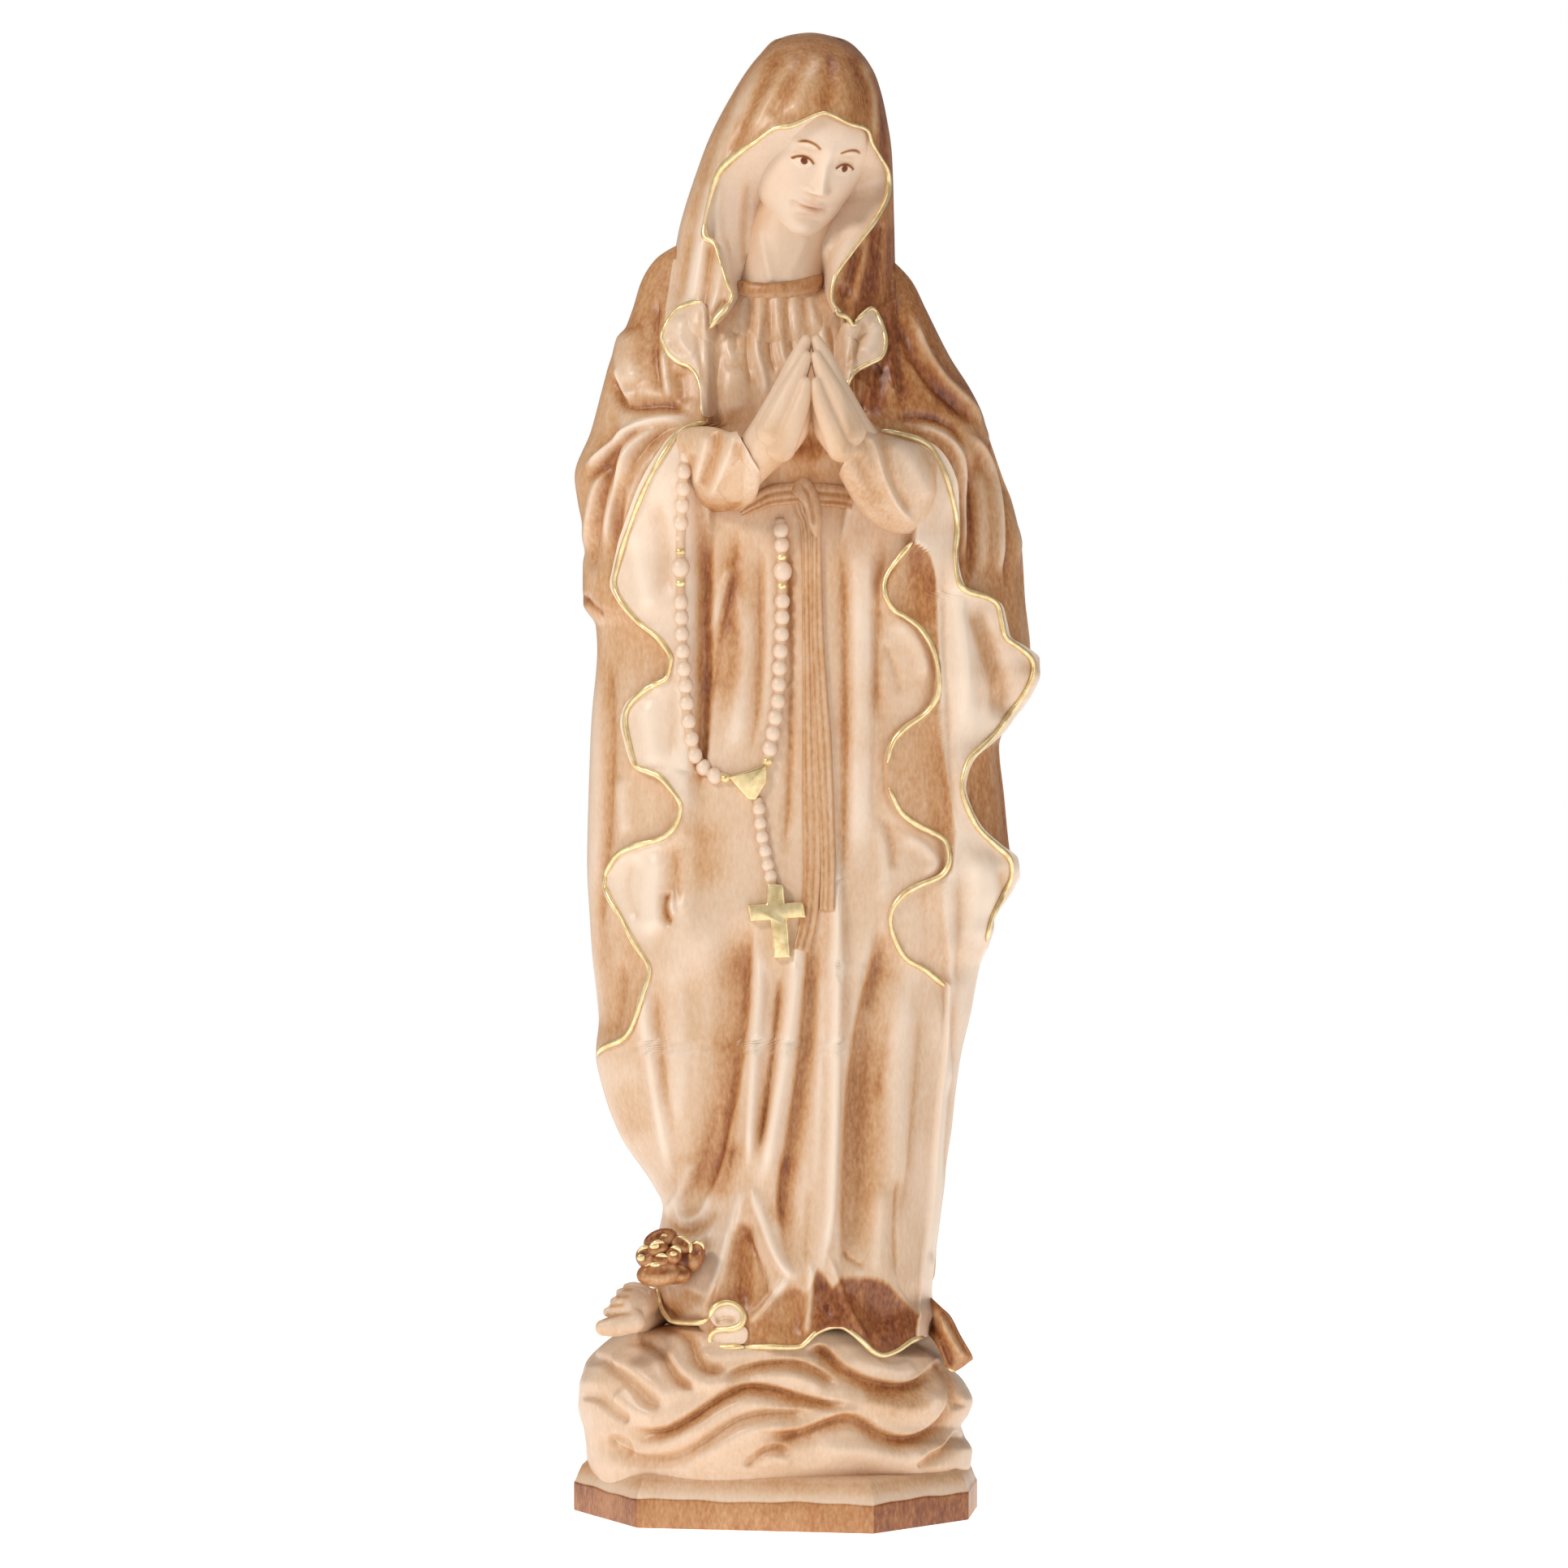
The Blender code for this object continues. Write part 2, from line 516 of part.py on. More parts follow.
def main():
    for old in list(bpy.data.objects):
        bpy.data.objects.remove(old, do_unlink=True)

    maple = material("maple_natural", MAPLE, 0.5)
    light = material("maple_light_stain", LIGHT_STAIN, 0.5)
    brown = material("maple_brown_stain", BROWN_STAIN, 0.5)
    skin = material("maple_skin_tint", SKIN, 0.5)
    gold = material("gilding", GOLD, 0.3, metallic=1.0)
    beech = material("dowel_wood", BEECH, 0.6)

    figure = bpy.data.objects.new("figure", None)
    figure.rotation_euler = (0, 0, TURN)
    bpy.context.scene.collection.objects.link(figure)

    plinth = make_plinth(brown, None)
    mound = make_mound(maple, figure)
    robe = make_robe(maple, figure)
    make_mantle(light, figure)
    head = make_head(skin, figure)
    make_veil(light, figure)

    left_fold = [
        (-22.8, 367.5), (-28, 368), (-33, 366), (-35, 362), (-34, 356), (-30, 352), (-26.5, 350.5), (-23.5, 346),
        (-22.5, 338), (-20.5, 345), (-19, 356), (-18, 367),
    ]
    right_fold = [
        (24, 367), (27, 368), (31.5, 367.5), (33.5, 363.5), (32.3, 357.3), (27.3, 353.5), (22.3, 351), (21, 346),
        (20, 353), (20, 362),
    ]
    plate("veil_fold_right_side", left_fold, 2.2, on_mantle, maple, figure)
    plate("veil_fold_left_side", right_fold, 2.2, on_mantle, maple, figure)

    right_sleeve_rows = [
        (-27.3, 309, 331, -37), (-22, 306.5, 333.5, -44), (-16, 306.5, 333, -48), (-10, 312, 331, -50),
    ]
    left_sleeve_rows = [
        (24.6, 317, 331, -50), (29, 307, 333, -49), (36, 302, 333, -46), (43, 299.5, 332, -42), (49, 304, 328, -36),
    ]
    right_sleeve = sleeve("right_sleeve", right_sleeve_rows, light, figure)
    left_sleeve = sleeve("left_sleeve", left_sleeve_rows, maple, figure)

    right_hand_rows = [
        (319, -7.5, 0.5, -52, -40), (326, -9.3, 4.5, -56, -42), (332, -8.8, 10.6, -60, -44),
        (338, -6, 10.6, -62, -46), (346, -2, 10.6, -62, -48), (354, 1, 10.6, -61, -50),
        (359, 5, 10.6, -59, -52), (361.5, 8, 10.4, -57.5, -54),
    ]
    left_hand_rows = [
        (319, 17, 21.5, -52, -40), (326, 15.5, 22.3, -56, -42), (332, 11.1, 23.8, -60, -44),
        (338, 11.1, 23, -62, -46), (346, 11.1, 20.5, -62, -48), (354, 11.1, 18.3, -61, -50),
        (359, 11.1, 15.5, -59, -52), (361.5, 11.3, 13.5, -57.5, -54),
    ]
    right_hand = hand("right_hand", right_hand_rows, skin, figure)
    left_hand = hand("left_hand", left_hand_rows, skin, figure)

    belt = [(-8.8, 306.5), (-3, 308.5), (3, 311), (9, 312.5), (15, 311.5), (22, 308.5)]
    band("belt", belt, 3.2, 1.8, on_robe, brown, figure)
    knot = on_robe(9.8, 313, 2.8 + 2.4)
    pebble("belt_knot", knot, (4.4, 2.4, 4.2), light, figure, lobes=4, depth=0.25)
    left_tail = [(7.8, 305.5), (9.6, 292), (9.5, 270), (9.5, 240), (9, 210), (7.5, 171)]
    right_tail = [(12.6, 305.5), (14.6, 292), (15, 270), (15.2, 240), (16, 210), (16, 184)]
    band("sash_tail_short", right_tail, 2.1, 1.6, on_robe, light, figure)
    band("sash_tail_long", left_tail, 2.1, 1.6, on_robe, light, figure)

    left_strand = [(-28.6, 303, 13), (-28.8, 280, 12), (-28.6, 255, 11.8), (-27.6, 240, 11.8), (-25, 232, 11.5)]
    left_strand += [(-21.5, 228.5, 9.5), (-18, 226.5, 6), (-15.2, 225.6, 3.6)]
    right_strand = [(1.4, 302), (1.8, 285), (1.6, 265), (0.8, 248), (-0.8, 236), (-2, 230.4)]
    pendant = [(-5.6, 216.4), (-4.6, 210), (-3, 203), (-1.6, 195)]
    beads("rosary_right_strand", [on_robe(x, z, proud) for x, z, proud in left_strand], 4.7, maple, figure)
    beads("rosary_left_strand", [on_robe(x, z, 2.6) for x, z in right_strand], 4.7, maple, figure)
    beads("rosary_pendant_strand", [on_robe(x, z, 2.6) for x, z in pendant], 4.2, maple, figure)
    centre = [(-14.3, 225), (-3.3, 228.8), (-3.3, 223.8), (-6.5, 218.8), (-8.3, 219)]
    cross = [
        (-2.3, 192.3), (-2.4, 186.2), (-8.6, 185.8), (-8, 181.4), (-2, 181.8), (-0.6, 170), (4, 170.3),
        (3, 182.4), (9, 182.8), (8.4, 186.8), (2.4, 186.8), (2.1, 192.3),
    ]
    plate("rosary_centre", centre, 2.0, on_robe, gold, figure)
    plate("rosary_cross", cross, 1.8, lambda x, z, proud: on_robe(x, z, proud + 2.2), gold, figure)

    foot_rows = [(-56, -33, 6, 2.5), (-53, -33, 8, 4.2), (-48, -32, 8.5, 5.2), (-43, -31, 8, 7.5), (-38, -30, 7, 9.5)]
    foot = []
    for x, y, deep, up in foot_rows:
        centre_z = HEM_Z + up
        section = ellipse_section((x, y, centre_z), deep, up)
        foot.append([(px, py, max(pz, HEM_Z + 0.2)) for px, py, pz in section])
    loft("right_foot", foot, skin, figure, angle=60)
    pebble("foot_rose", (-32.5, -38.5, 81.5), (9.8, 6.5, 9), brown, figure, lobes=5, depth=0.22)
    tail = [(51.8, -8, 67), (54, -9, 63), (56.5, -10.5, 58.5), (59, -12, 54)]
    tube("trailing_hem", tail, [2.6, 3.6, 4.2, 4.4], brown, figure, sides=12)

    for name, x in (("base_dowel_left", -15), ("base_dowel_right", 18)):
        dowel(name, (x, 0, 4), (x, 0, 74), DOWEL_R, beech, figure)
        for piece in (plinth, mound, robe):
            bore(piece, figure, (x, 0, 3.5), (x, 0, 74.5), DOWEL_R + DOWEL_CLEARANCE)
    dowel("neck_dowel", (3, -5, 360), (3, -5, 388), DOWEL_R, beech, figure)
    for piece in (robe, head):
        bore(piece, figure, (3, -5, 359.5), (3, -5, 388.5), DOWEL_R + DOWEL_CLEARANCE)
    pegs = (
        ("right_hand_peg", (-16, -42, 325), (-4, -48.5, 326), right_sleeve, right_hand),
        ("left_hand_peg", (31, -42, 325), (19, -48.5, 326.5), left_sleeve, left_hand),
    )
    for name, start, end, first, second in pegs:
        dowel(name, start, end, PEG_R, beech, figure)
        past = np.subtract(end, start) / np.linalg.norm(np.subtract(end, start)) * 0.5
        for piece in (first, second):
            bore(piece, figure, tuple(start - past), tuple(end + past), PEG_R + DOWEL_CLEARANCE)


main()
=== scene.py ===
"""Carved and stained maple madonna statue with gilded hems, on its cloud mound and plinth."""

import math

import bmesh
import bpy
import numpy as np
from mathutils import Matrix, Vector


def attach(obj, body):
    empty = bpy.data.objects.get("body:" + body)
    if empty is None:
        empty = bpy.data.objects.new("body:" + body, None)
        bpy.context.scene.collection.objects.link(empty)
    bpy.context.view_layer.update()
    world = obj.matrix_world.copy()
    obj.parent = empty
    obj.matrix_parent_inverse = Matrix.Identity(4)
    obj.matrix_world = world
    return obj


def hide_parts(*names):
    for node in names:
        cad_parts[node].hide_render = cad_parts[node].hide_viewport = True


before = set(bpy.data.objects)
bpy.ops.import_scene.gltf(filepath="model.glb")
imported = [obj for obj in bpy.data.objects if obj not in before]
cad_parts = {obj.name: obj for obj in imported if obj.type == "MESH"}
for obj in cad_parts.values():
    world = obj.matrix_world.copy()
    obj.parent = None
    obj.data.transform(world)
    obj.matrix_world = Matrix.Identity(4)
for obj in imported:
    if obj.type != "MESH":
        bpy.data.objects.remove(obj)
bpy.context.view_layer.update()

# Lengths are millimetres. The figure is laid out in elevation, as seen from a level viewing point: x to the
# right, z up, y the depth, with nearer points negative. It is then turned on its plinth.
TURN = math.radians(8.6)
EYE_X, EYE_Z, EYE_DISTANCE = 2.5, 223.3, 1400.0
SPIN = np.array([[math.cos(TURN), -math.sin(TURN), 0], [math.sin(TURN), math.cos(TURN), 0], [0, 0, 1]])


# ---------------------------------------------------------------- curves and fields


def smooth(points, at, column=1):
    """Monotone cubic through rows of (position, value, ...)."""
    table = np.array(points, float)
    xs, ys = table[:, 0], table[:, column]
    h = np.diff(xs)
    slope = np.diff(ys) / h
    tangent = np.zeros(len(xs))
    tangent[0], tangent[-1] = slope[0], slope[-1]
    for i in range(1, len(xs) - 1):
        if slope[i - 1] * slope[i] > 0:
            w1, w2 = 2 * h[i] + h[i - 1], h[i] + 2 * h[i - 1]
            tangent[i] = (w1 + w2) / (w1 / slope[i - 1] + w2 / slope[i])
    at = np.clip(np.asarray(at, float), xs[0], xs[-1])
    i = np.clip(np.searchsorted(xs, at, side="right") - 1, 0, len(h) - 1)
    t = (at - xs[i]) / h[i]
    value = (1 + 2 * t) * (1 - t) ** 2 * ys[i] + t * (1 - t) ** 2 * h[i] * tangent[i]
    return value + t * t * (3 - 2 * t) * ys[i + 1] + t * t * (t - 1) * h[i] * tangent[i + 1]


def along(points, count, closed=False):
    """Evenly spaced points on a smooth curve through the given ones, in any dimension."""
    points = np.array(points, float)
    if closed:
        points = np.concatenate([points[-2:], points, points[:3]])
    ends = (2 * points[0] - points[1], 2 * points[-1] - points[-2])
    padded = np.concatenate([[ends[0]], points, [ends[1]]])
    dense = []
    for i in range(1, len(padded) - 2):
        a, b, c, d = padded[i - 1], padded[i], padded[i + 1], padded[i + 2]
        second, third = 2 * a - 5 * b + 4 * c - d, 3 * b - a - 3 * c + d
        for t in np.linspace(0, 1, 12, endpoint=False):
            dense.append(0.5 * (2 * b + (c - a) * t + second * t**2 + third * t**3))
    dense.append(padded[-2])
    dense = np.array(dense)
    if closed:
        dense = dense[24 : len(dense) - 24]
    length = np.concatenate([[0], np.cumsum(np.linalg.norm(np.diff(dense, axis=0), axis=1))])
    where = np.linspace(0, length[-1], count, endpoint=not closed)
    return np.stack([np.interp(where, length, dense[:, k]) for k in range(dense.shape[1])], axis=1)


def step(low, high, value):
    """Smooth rise from 0 at low to 1 at high."""
    t = np.clip((value - low) / (high - low), 0, 1)
    return t * t * (3 - 2 * t)


def stroke(x, z, points, width, right=None, ends=(0.15, 0.15), form="soft"):
    """How strongly a line drawn through points touches each place, from 0 to 1.

    width is its reach on the left of its direction, right on the right of it. ends are the shares of its
    length over which it fades. Its form across is soft, flat-topped, a sharp crease or a painted line."""
    line = along(points, max(8, 5 * len(points))) if len(points) > 2 else np.array(points, float)
    right = width if right is None else right
    reach = max(width, right) * {"line": 1, "soft": 1.9, "crease": 2.4, "flat": 1.5}[form]
    out = np.zeros_like(x)
    near = (x > line[:, 0].min() - reach) & (x < line[:, 0].max() + reach)
    near &= (z > line[:, 1].min() - reach) & (z < line[:, 1].max() + reach)
    if not near.any():
        return out
    near_x, near_z = x[near], z[near]
    total = np.linalg.norm(np.diff(line, axis=0), axis=1).sum()
    best = np.full(near_x.shape, 1e9)
    side, place = np.zeros(near_x.shape), np.zeros(near_x.shape)
    run = 0.0
    for a, b in zip(line, line[1:]):
        d = b - a
        size = np.linalg.norm(d)
        t = np.clip(((near_x - a[0]) * d[0] + (near_z - a[1]) * d[1]) / size**2, 0, 1)
        ox, oz = near_x - a[0] - t * d[0], near_z - a[1] - t * d[1]
        dist = np.hypot(ox, oz)
        closer = dist < best
        best = np.where(closer, dist, best)
        side = np.where(closer, d[0] * oz - d[1] * ox, side)
        place = np.where(closer, (run + t * size) / total, place)
        run += size
    wide = np.where(side > 0, width, right)
    if form == "line":
        profile = np.clip(1 - best / wide, 0, 1) ** 1.2
    elif form == "crease":
        profile = np.exp(-1.5 * np.sqrt((best / wide) ** 2 + 0.02) + 0.2) * step(2.4, 1.2, best / wide)
    elif form == "flat":
        profile = np.exp(-((best / wide) ** 3) * 1.6)
    else:
        profile = np.exp(-((best / wide) ** 2) * 1.4)
    fade = step(0, ends[0] + 1e-6, place) * step(0, ends[1] + 1e-6, 1 - place)
    out[near] = profile * fade
    return out


def carved(x, z, folds):
    """Relief and colour that folds leave: each is (path, reach or left and right reach, height, stain), where
    the stain is kept in the valleys and wiped off the ridges, and is partly painted shade in the creases and
    painted highlight on the ridges.
    """
    relief, tint = np.zeros_like(x), np.zeros_like(x)
    for path, *reach, height, darker in folds:
        touch = stroke(x, z, path, *reach)
        relief += height * touch
        tint += darker * touch
    return relief, tint


def oval(across, power):
    """Share of its full depth that a rounded form has: 1 in the middle (across 0), 0 at its edges."""
    return np.clip(1 - np.abs(across) ** power, 0, 1) ** (1 / power)


def relaxed(line, times):
    """A row of values or points with its bumps averaged out, both ends kept."""
    line = line.copy()
    for _ in range(times):
        line[1:-1] = (line[:-2] + 2 * line[1:-1] + line[2:]) / 4
    return line


def blur(field, rows, columns):
    """Gaussian blur of a grid, by a count of rows and columns."""
    for axis, size in ((0, rows), (1, columns)):
        reach = int(3 * size)
        kernel = np.exp(-0.5 * (np.arange(-reach, reach + 1) / size) ** 2)
        kernel /= kernel.sum()
        pad = [(0, 0), (0, 0)]
        pad[axis] = (reach, reach)
        wide = np.pad(field, pad, mode="edge")
        count = field.shape[axis]
        total = np.zeros_like(field)
        for k, weight in enumerate(kernel):
            cut = [slice(None), slice(None)]
            cut[axis] = slice(k, k + count)
            total += weight * wide[tuple(cut)]
        field = total
    return field


def from_view(points):
    """Elevation points, as drawn, to their place in the part's frame, in metres."""
    points = np.asarray(points, float).reshape(-1, 3)
    k = 1 + np.minimum(points[:, 1], 0) / EYE_DISTANCE
    x, z = EYE_X + (points[:, 0] - EYE_X) * k, EYE_Z + (points[:, 2] - EYE_Z) * k
    return np.stack([x, points[:, 1], z], axis=1) @ SPIN.T * 0.001


# ---------------------------------------------------------------- meshes


def piece(name, points, faces, look, node=None, stain=None, drawn=True, slot=None):
    """A mesh piece riding on the frame, from points in elevation (drawn) or in the part's own millimetres."""
    points = from_view(points) if drawn else np.asarray(points, float).reshape(-1, 3) * 0.001
    mesh = bpy.data.meshes.new(name)
    mesh.from_pydata(points.tolist(), [], [tuple(int(i) for i in f) for f in faces])
    mesh.shade_smooth()
    if stain is not None:
        flat = np.asarray(stain, np.float32).reshape(-1)
        values = np.broadcast_to(flat, (len(points),)).astype(np.float32)
        attribute = mesh.attributes.new("stain", "FLOAT", "POINT")
        attribute.data.foreach_set("value", np.ascontiguousarray(values))
    made = bpy.data.objects.new(name, mesh)
    mesh.materials.append(look)
    bpy.context.scene.collection.objects.link(made)
    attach(made, "root")
    for each in [node] if isinstance(node, str) else node or []:
        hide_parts(each)
    return made


def grid_faces(rows, columns, wrap=False, flip=False):
    """Quads over a grid of points; wrap joins its last column to its first."""
    r, c = np.meshgrid(np.arange(rows - 1), np.arange(columns if wrap else columns - 1), indexing="ij")
    r, c = r.ravel(), c.ravel()
    d = (c + 1) % columns
    quads = [r * columns + c, r * columns + d, (r + 1) * columns + d, (r + 1) * columns + c]
    if flip:
        quads = quads[::-1]
    return np.stack(quads, axis=1)


def tube_points(path, radii, sides=10):
    """Rings round a path."""
    path = np.asarray(path, float)
    tangent = np.gradient(path, axis=0)
    tangent /= np.linalg.norm(tangent, axis=1)[:, None]
    across = np.cross(tangent, (0, 1, 0))
    across /= np.maximum(np.linalg.norm(across, axis=1)[:, None], 1e-6)
    deep = np.cross(tangent, across)
    turn = np.arange(sides) * 2 * math.pi / sides
    radii = np.broadcast_to(radii, (len(path),))
    ring = np.cos(turn)[None, :, None] * across[:, None, :] + np.sin(turn)[None, :, None] * deep[:, None, :]
    return path[:, None, :] + ring * radii[:, None, None]


def tube(name, path, radii, look, sides=10, **options):
    """A closed rod along a path."""
    rings = tube_points(path, radii, sides)
    count = len(rings)
    points = np.concatenate([rings.reshape(-1, 3), [rings[0].mean(0)], [rings[-1].mean(0)]])
    faces = [tuple(f) for f in grid_faces(count, sides, wrap=True)]
    first, last = count * sides, count * sides + 1
    faces += [(first, (i + 1) % sides, i) for i in range(sides)]
    base = (count - 1) * sides
    faces += [(last, base + i, base + (i + 1) % sides) for i in range(sides)]
    return piece(name, points, faces, look, **options)


def pillow(outline, depth, height, rings=14, count=90, edge=0.35, relief=None, centre=None):
    """A cushioned patch: outline (x, z), star-shaped about its centre; depth(x, z) is the surface it lies on
    and height how far its middle stands out. Gives points, faces and how near each point is to the rim."""
    rim = along(outline, count, closed=True)
    middle = rim.mean(0) if centre is None else np.array(centre, float)
    share = np.sin(np.linspace(0, 1, rings) * math.pi / 2)
    xz = middle + share[:, None, None] * (rim - middle)
    x, z = xz[..., 0], xz[..., 1]
    r = np.broadcast_to(share[:, None], x.shape)
    lift = edge + height * np.sqrt(np.clip(1 - r**2.6, 0, 1))
    if relief is not None:
        lift = lift + relief(x, z) * np.clip((1 - r) * 5, 0, 1)
    y = depth(x, z) - lift
    skirt = np.stack([x[-1], depth(x[-1], z[-1]) + 1.0, z[-1]], axis=1)
    points = np.concatenate([np.stack([x, y, z], axis=2).reshape(-1, 3), skirt])
    return points, grid_faces(rings + 1, count, wrap=True), np.concatenate([r.reshape(-1), np.ones(count)])


def band_points(spine, half_width, thick, depth, rows, columns):
    """A strip of cloth laid on a surface, with rounded edges; half_width is given at even steps along it."""
    line = along(spine, rows)
    d = np.gradient(line, axis=0)
    d /= np.linalg.norm(d, axis=1)[:, None]
    normal = np.stack([-d[:, 1], d[:, 0]], axis=1)
    across = np.linspace(-1, 1, columns)
    half = np.interp(np.linspace(0, 1, rows), np.linspace(0, 1, len(half_width)), half_width)
    xz = line[:, None, :] + normal[:, None, :] * (across[None, :, None] * half[:, None, None])
    x, z = xz[..., 0], xz[..., 1]
    lift = thick * np.clip(1 - np.abs(across) ** 8, 0, 1)[None, :] + 0 * x
    base = depth(x, z)
    y = base - lift
    y[:, 0], y[:, -1] = base[:, 0] + 0.6, base[:, -1] + 0.6
    y[0], y[-1] = base[0] + 0.6, base[-1] + 0.6
    return np.stack([x, y, z], axis=2).reshape(-1, 3), grid_faces(rows, columns)


def ball_points(centre, radii, rows=10, columns=16):
    """A ball's points and faces."""
    polar, round_ = np.meshgrid(np.linspace(0, math.pi, rows),
                                np.linspace(0, 2 * math.pi, columns, endpoint=False), indexing="ij")
    x = centre[0] + radii[0] * np.sin(polar) * np.cos(round_)
    y = centre[1] + radii[1] * np.sin(polar) * np.sin(round_)
    z = centre[2] + radii[2] * np.cos(polar)
    return np.stack([x, y, z], axis=2).reshape(-1, 3), grid_faces(rows, columns, wrap=True, flip=True)


def joined(parts):
    """Several (points, faces) as one."""
    points, faces, start = [], [], 0
    for p, f in parts:
        points.append(np.asarray(p, float).reshape(-1, 3))
        faces.append(np.asarray(f) + start)
        start += len(points[-1])
    return np.concatenate(points), np.concatenate(faces)


def blob(name, chains, voxel, smoothing, reshape=None):
    """Limbs as balls along chains of (x, y, z, radius), melted into one skin. Gives points and faces."""
    parts = []
    for chain in chains:
        chain = np.array(chain, float)
        length = np.linalg.norm(np.diff(chain[:, :3], axis=0), axis=1).sum()
        for x, y, z, r in along(chain, max(3, int(length / 0.9))):
            parts.append(ball_points((x, y, z), (r, r, r), 9, 12))
    points, faces = joined(parts)
    mesh = bpy.data.meshes.new(name)
    mesh.from_pydata(points.tolist(), [], faces.tolist())
    bm = bmesh.new()
    bm.from_mesh(mesh)
    bmesh.ops.remove_doubles(bm, verts=bm.verts, dist=1e-4)
    bm.to_mesh(mesh)
    bm.free()
    made = bpy.data.objects.new(name, mesh)
    bpy.context.scene.collection.objects.link(made)
    remesh = made.modifiers.new("remesh", "REMESH")
    remesh.mode = "VOXEL"
    remesh.voxel_size = voxel
    relax = made.modifiers.new("relax", "SMOOTH")
    relax.iterations = smoothing
    relax.factor = 0.5
    graph = bpy.context.evaluated_depsgraph_get()
    result = made.evaluated_get(graph).to_mesh()
    points = np.array([v.co for v in result.vertices])
    faces = [tuple(p.vertices) for p in result.polygons]
    bpy.data.objects.remove(made)
    bpy.data.meshes.remove(mesh)
    return points if reshape is None else reshape(points), faces


# ---------------------------------------------------------------- materials


def linear(*display):
    """A display colour of 0 to 255 per channel as a linear one with alpha."""
    return tuple(((c / 255 + 0.055) / 1.055) ** 2.4 for c in display) + (1.0,)


STAIN = [
    (0.0, linear(240, 217, 194)),
    (0.15, linear(231, 203, 177)),
    (0.32, linear(219, 183, 149)),
    (0.5, linear(203, 155, 110)),
    (0.68, linear(178, 119, 68)),
    (0.84, linear(148, 84, 40)),
    (1.0, linear(108, 50, 22)),
]


def wood(name, fixed=None, grain=1.0, roughness=0.38, tint=None):
    """Stained maple: a colour attribute, holding the stain and in places painted shade and painted highlight,
    picks the tone, and grain, flecks and wiping marks break it up.
    """
    made = bpy.data.materials.new(name)
    made.use_nodes = True
    nodes, links = made.node_tree.nodes, made.node_tree.links
    shader = nodes["Principled BSDF"]

    def node(kind, **settings):
        new = nodes.new(kind)
        for key, value in settings.items():
            setattr(new, key, value)
        return new

    def math_node(operation, a, b):
        new = node("ShaderNodeMath", operation=operation)
        for i, value in enumerate((a, b)):
            if isinstance(value, (int, float)):
                new.inputs[i].default_value = value
            else:
                links.new(value, new.inputs[i])
        return new.outputs[0]

    coordinates = node("ShaderNodeTexCoord").outputs["Object"]

    def noise(scale, stretch, detail, rough=0.55):
        mapping = node("ShaderNodeMapping")
        mapping.inputs["Scale"].default_value = stretch
        links.new(coordinates, mapping.inputs["Vector"])
        texture = node("ShaderNodeTexNoise")
        texture.inputs["Scale"].default_value = scale
        texture.inputs["Detail"].default_value = detail
        texture.inputs["Roughness"].default_value = rough
        links.new(mapping.outputs[0], texture.inputs["Vector"])
        return texture.outputs["Fac"]

    streak = noise(300, (1, 1, 0.12), 3)
    cloudy = noise(70, (1, 1, 0.5), 5, 0.65)
    flecks = noise(1000, (1, 1, 0.45), 2)
    if fixed is None:
        stain = node("ShaderNodeAttribute", attribute_name="stain").outputs["Fac"]
    else:
        stain = node("ShaderNodeValue")
        stain.outputs[0].default_value = fixed
        stain = stain.outputs[0]
    depth = math_node("ADD", math_node("MULTIPLY", stain, 0.9), 0.25)
    streaks, clouds, specks = (
        math_node("MULTIPLY", math_node("SUBTRACT", pattern, 0.5), strength * grain)
        for pattern, strength in ((streak, 0.24), (cloudy, 0.60), (flecks, 0.50))
    )
    marks = math_node("ADD", math_node("ADD", streaks, clouds), specks)
    tone = math_node("ADD", stain, math_node("MULTIPLY", marks, depth))
    ramp = node("ShaderNodeValToRGB")
    ramp.color_ramp.interpolation = "LINEAR"
    elements = ramp.color_ramp.elements
    elements[0].position, elements[0].color = STAIN[0]
    elements[1].position, elements[1].color = STAIN[-1]
    for position, colour in STAIN[1:-1]:
        elements.new(position).color = colour
    links.new(tone, ramp.inputs["Fac"])
    if tint:
        mix = node("ShaderNodeMix", data_type="RGBA", blend_type="MIX")
        links.new(node("ShaderNodeAttribute", attribute_name="paint").outputs["Fac"], mix.inputs["Factor"])
        links.new(ramp.outputs["Color"], mix.inputs["A"])
        mix.inputs["B"].default_value = tint
        links.new(mix.outputs["Result"], shader.inputs["Base Color"])
    else:
        links.new(ramp.outputs["Color"], shader.inputs["Base Color"])
    uneven = math_node("ADD", math_node("MULTIPLY", cloudy, 0.16), roughness - 0.08)
    links.new(uneven, shader.inputs["Roughness"])
    bump = node("ShaderNodeBump")
    bump.inputs["Strength"].default_value = 0.12
    bump.inputs["Distance"].default_value = 0.0006
    links.new(math_node("ADD", math_node("MULTIPLY", flecks, 0.5), streak), bump.inputs["Height"])
    links.new(bump.outputs["Normal"], shader.inputs["Normal"])
    shader.inputs["Specular IOR Level"].default_value = 0.55
    return made


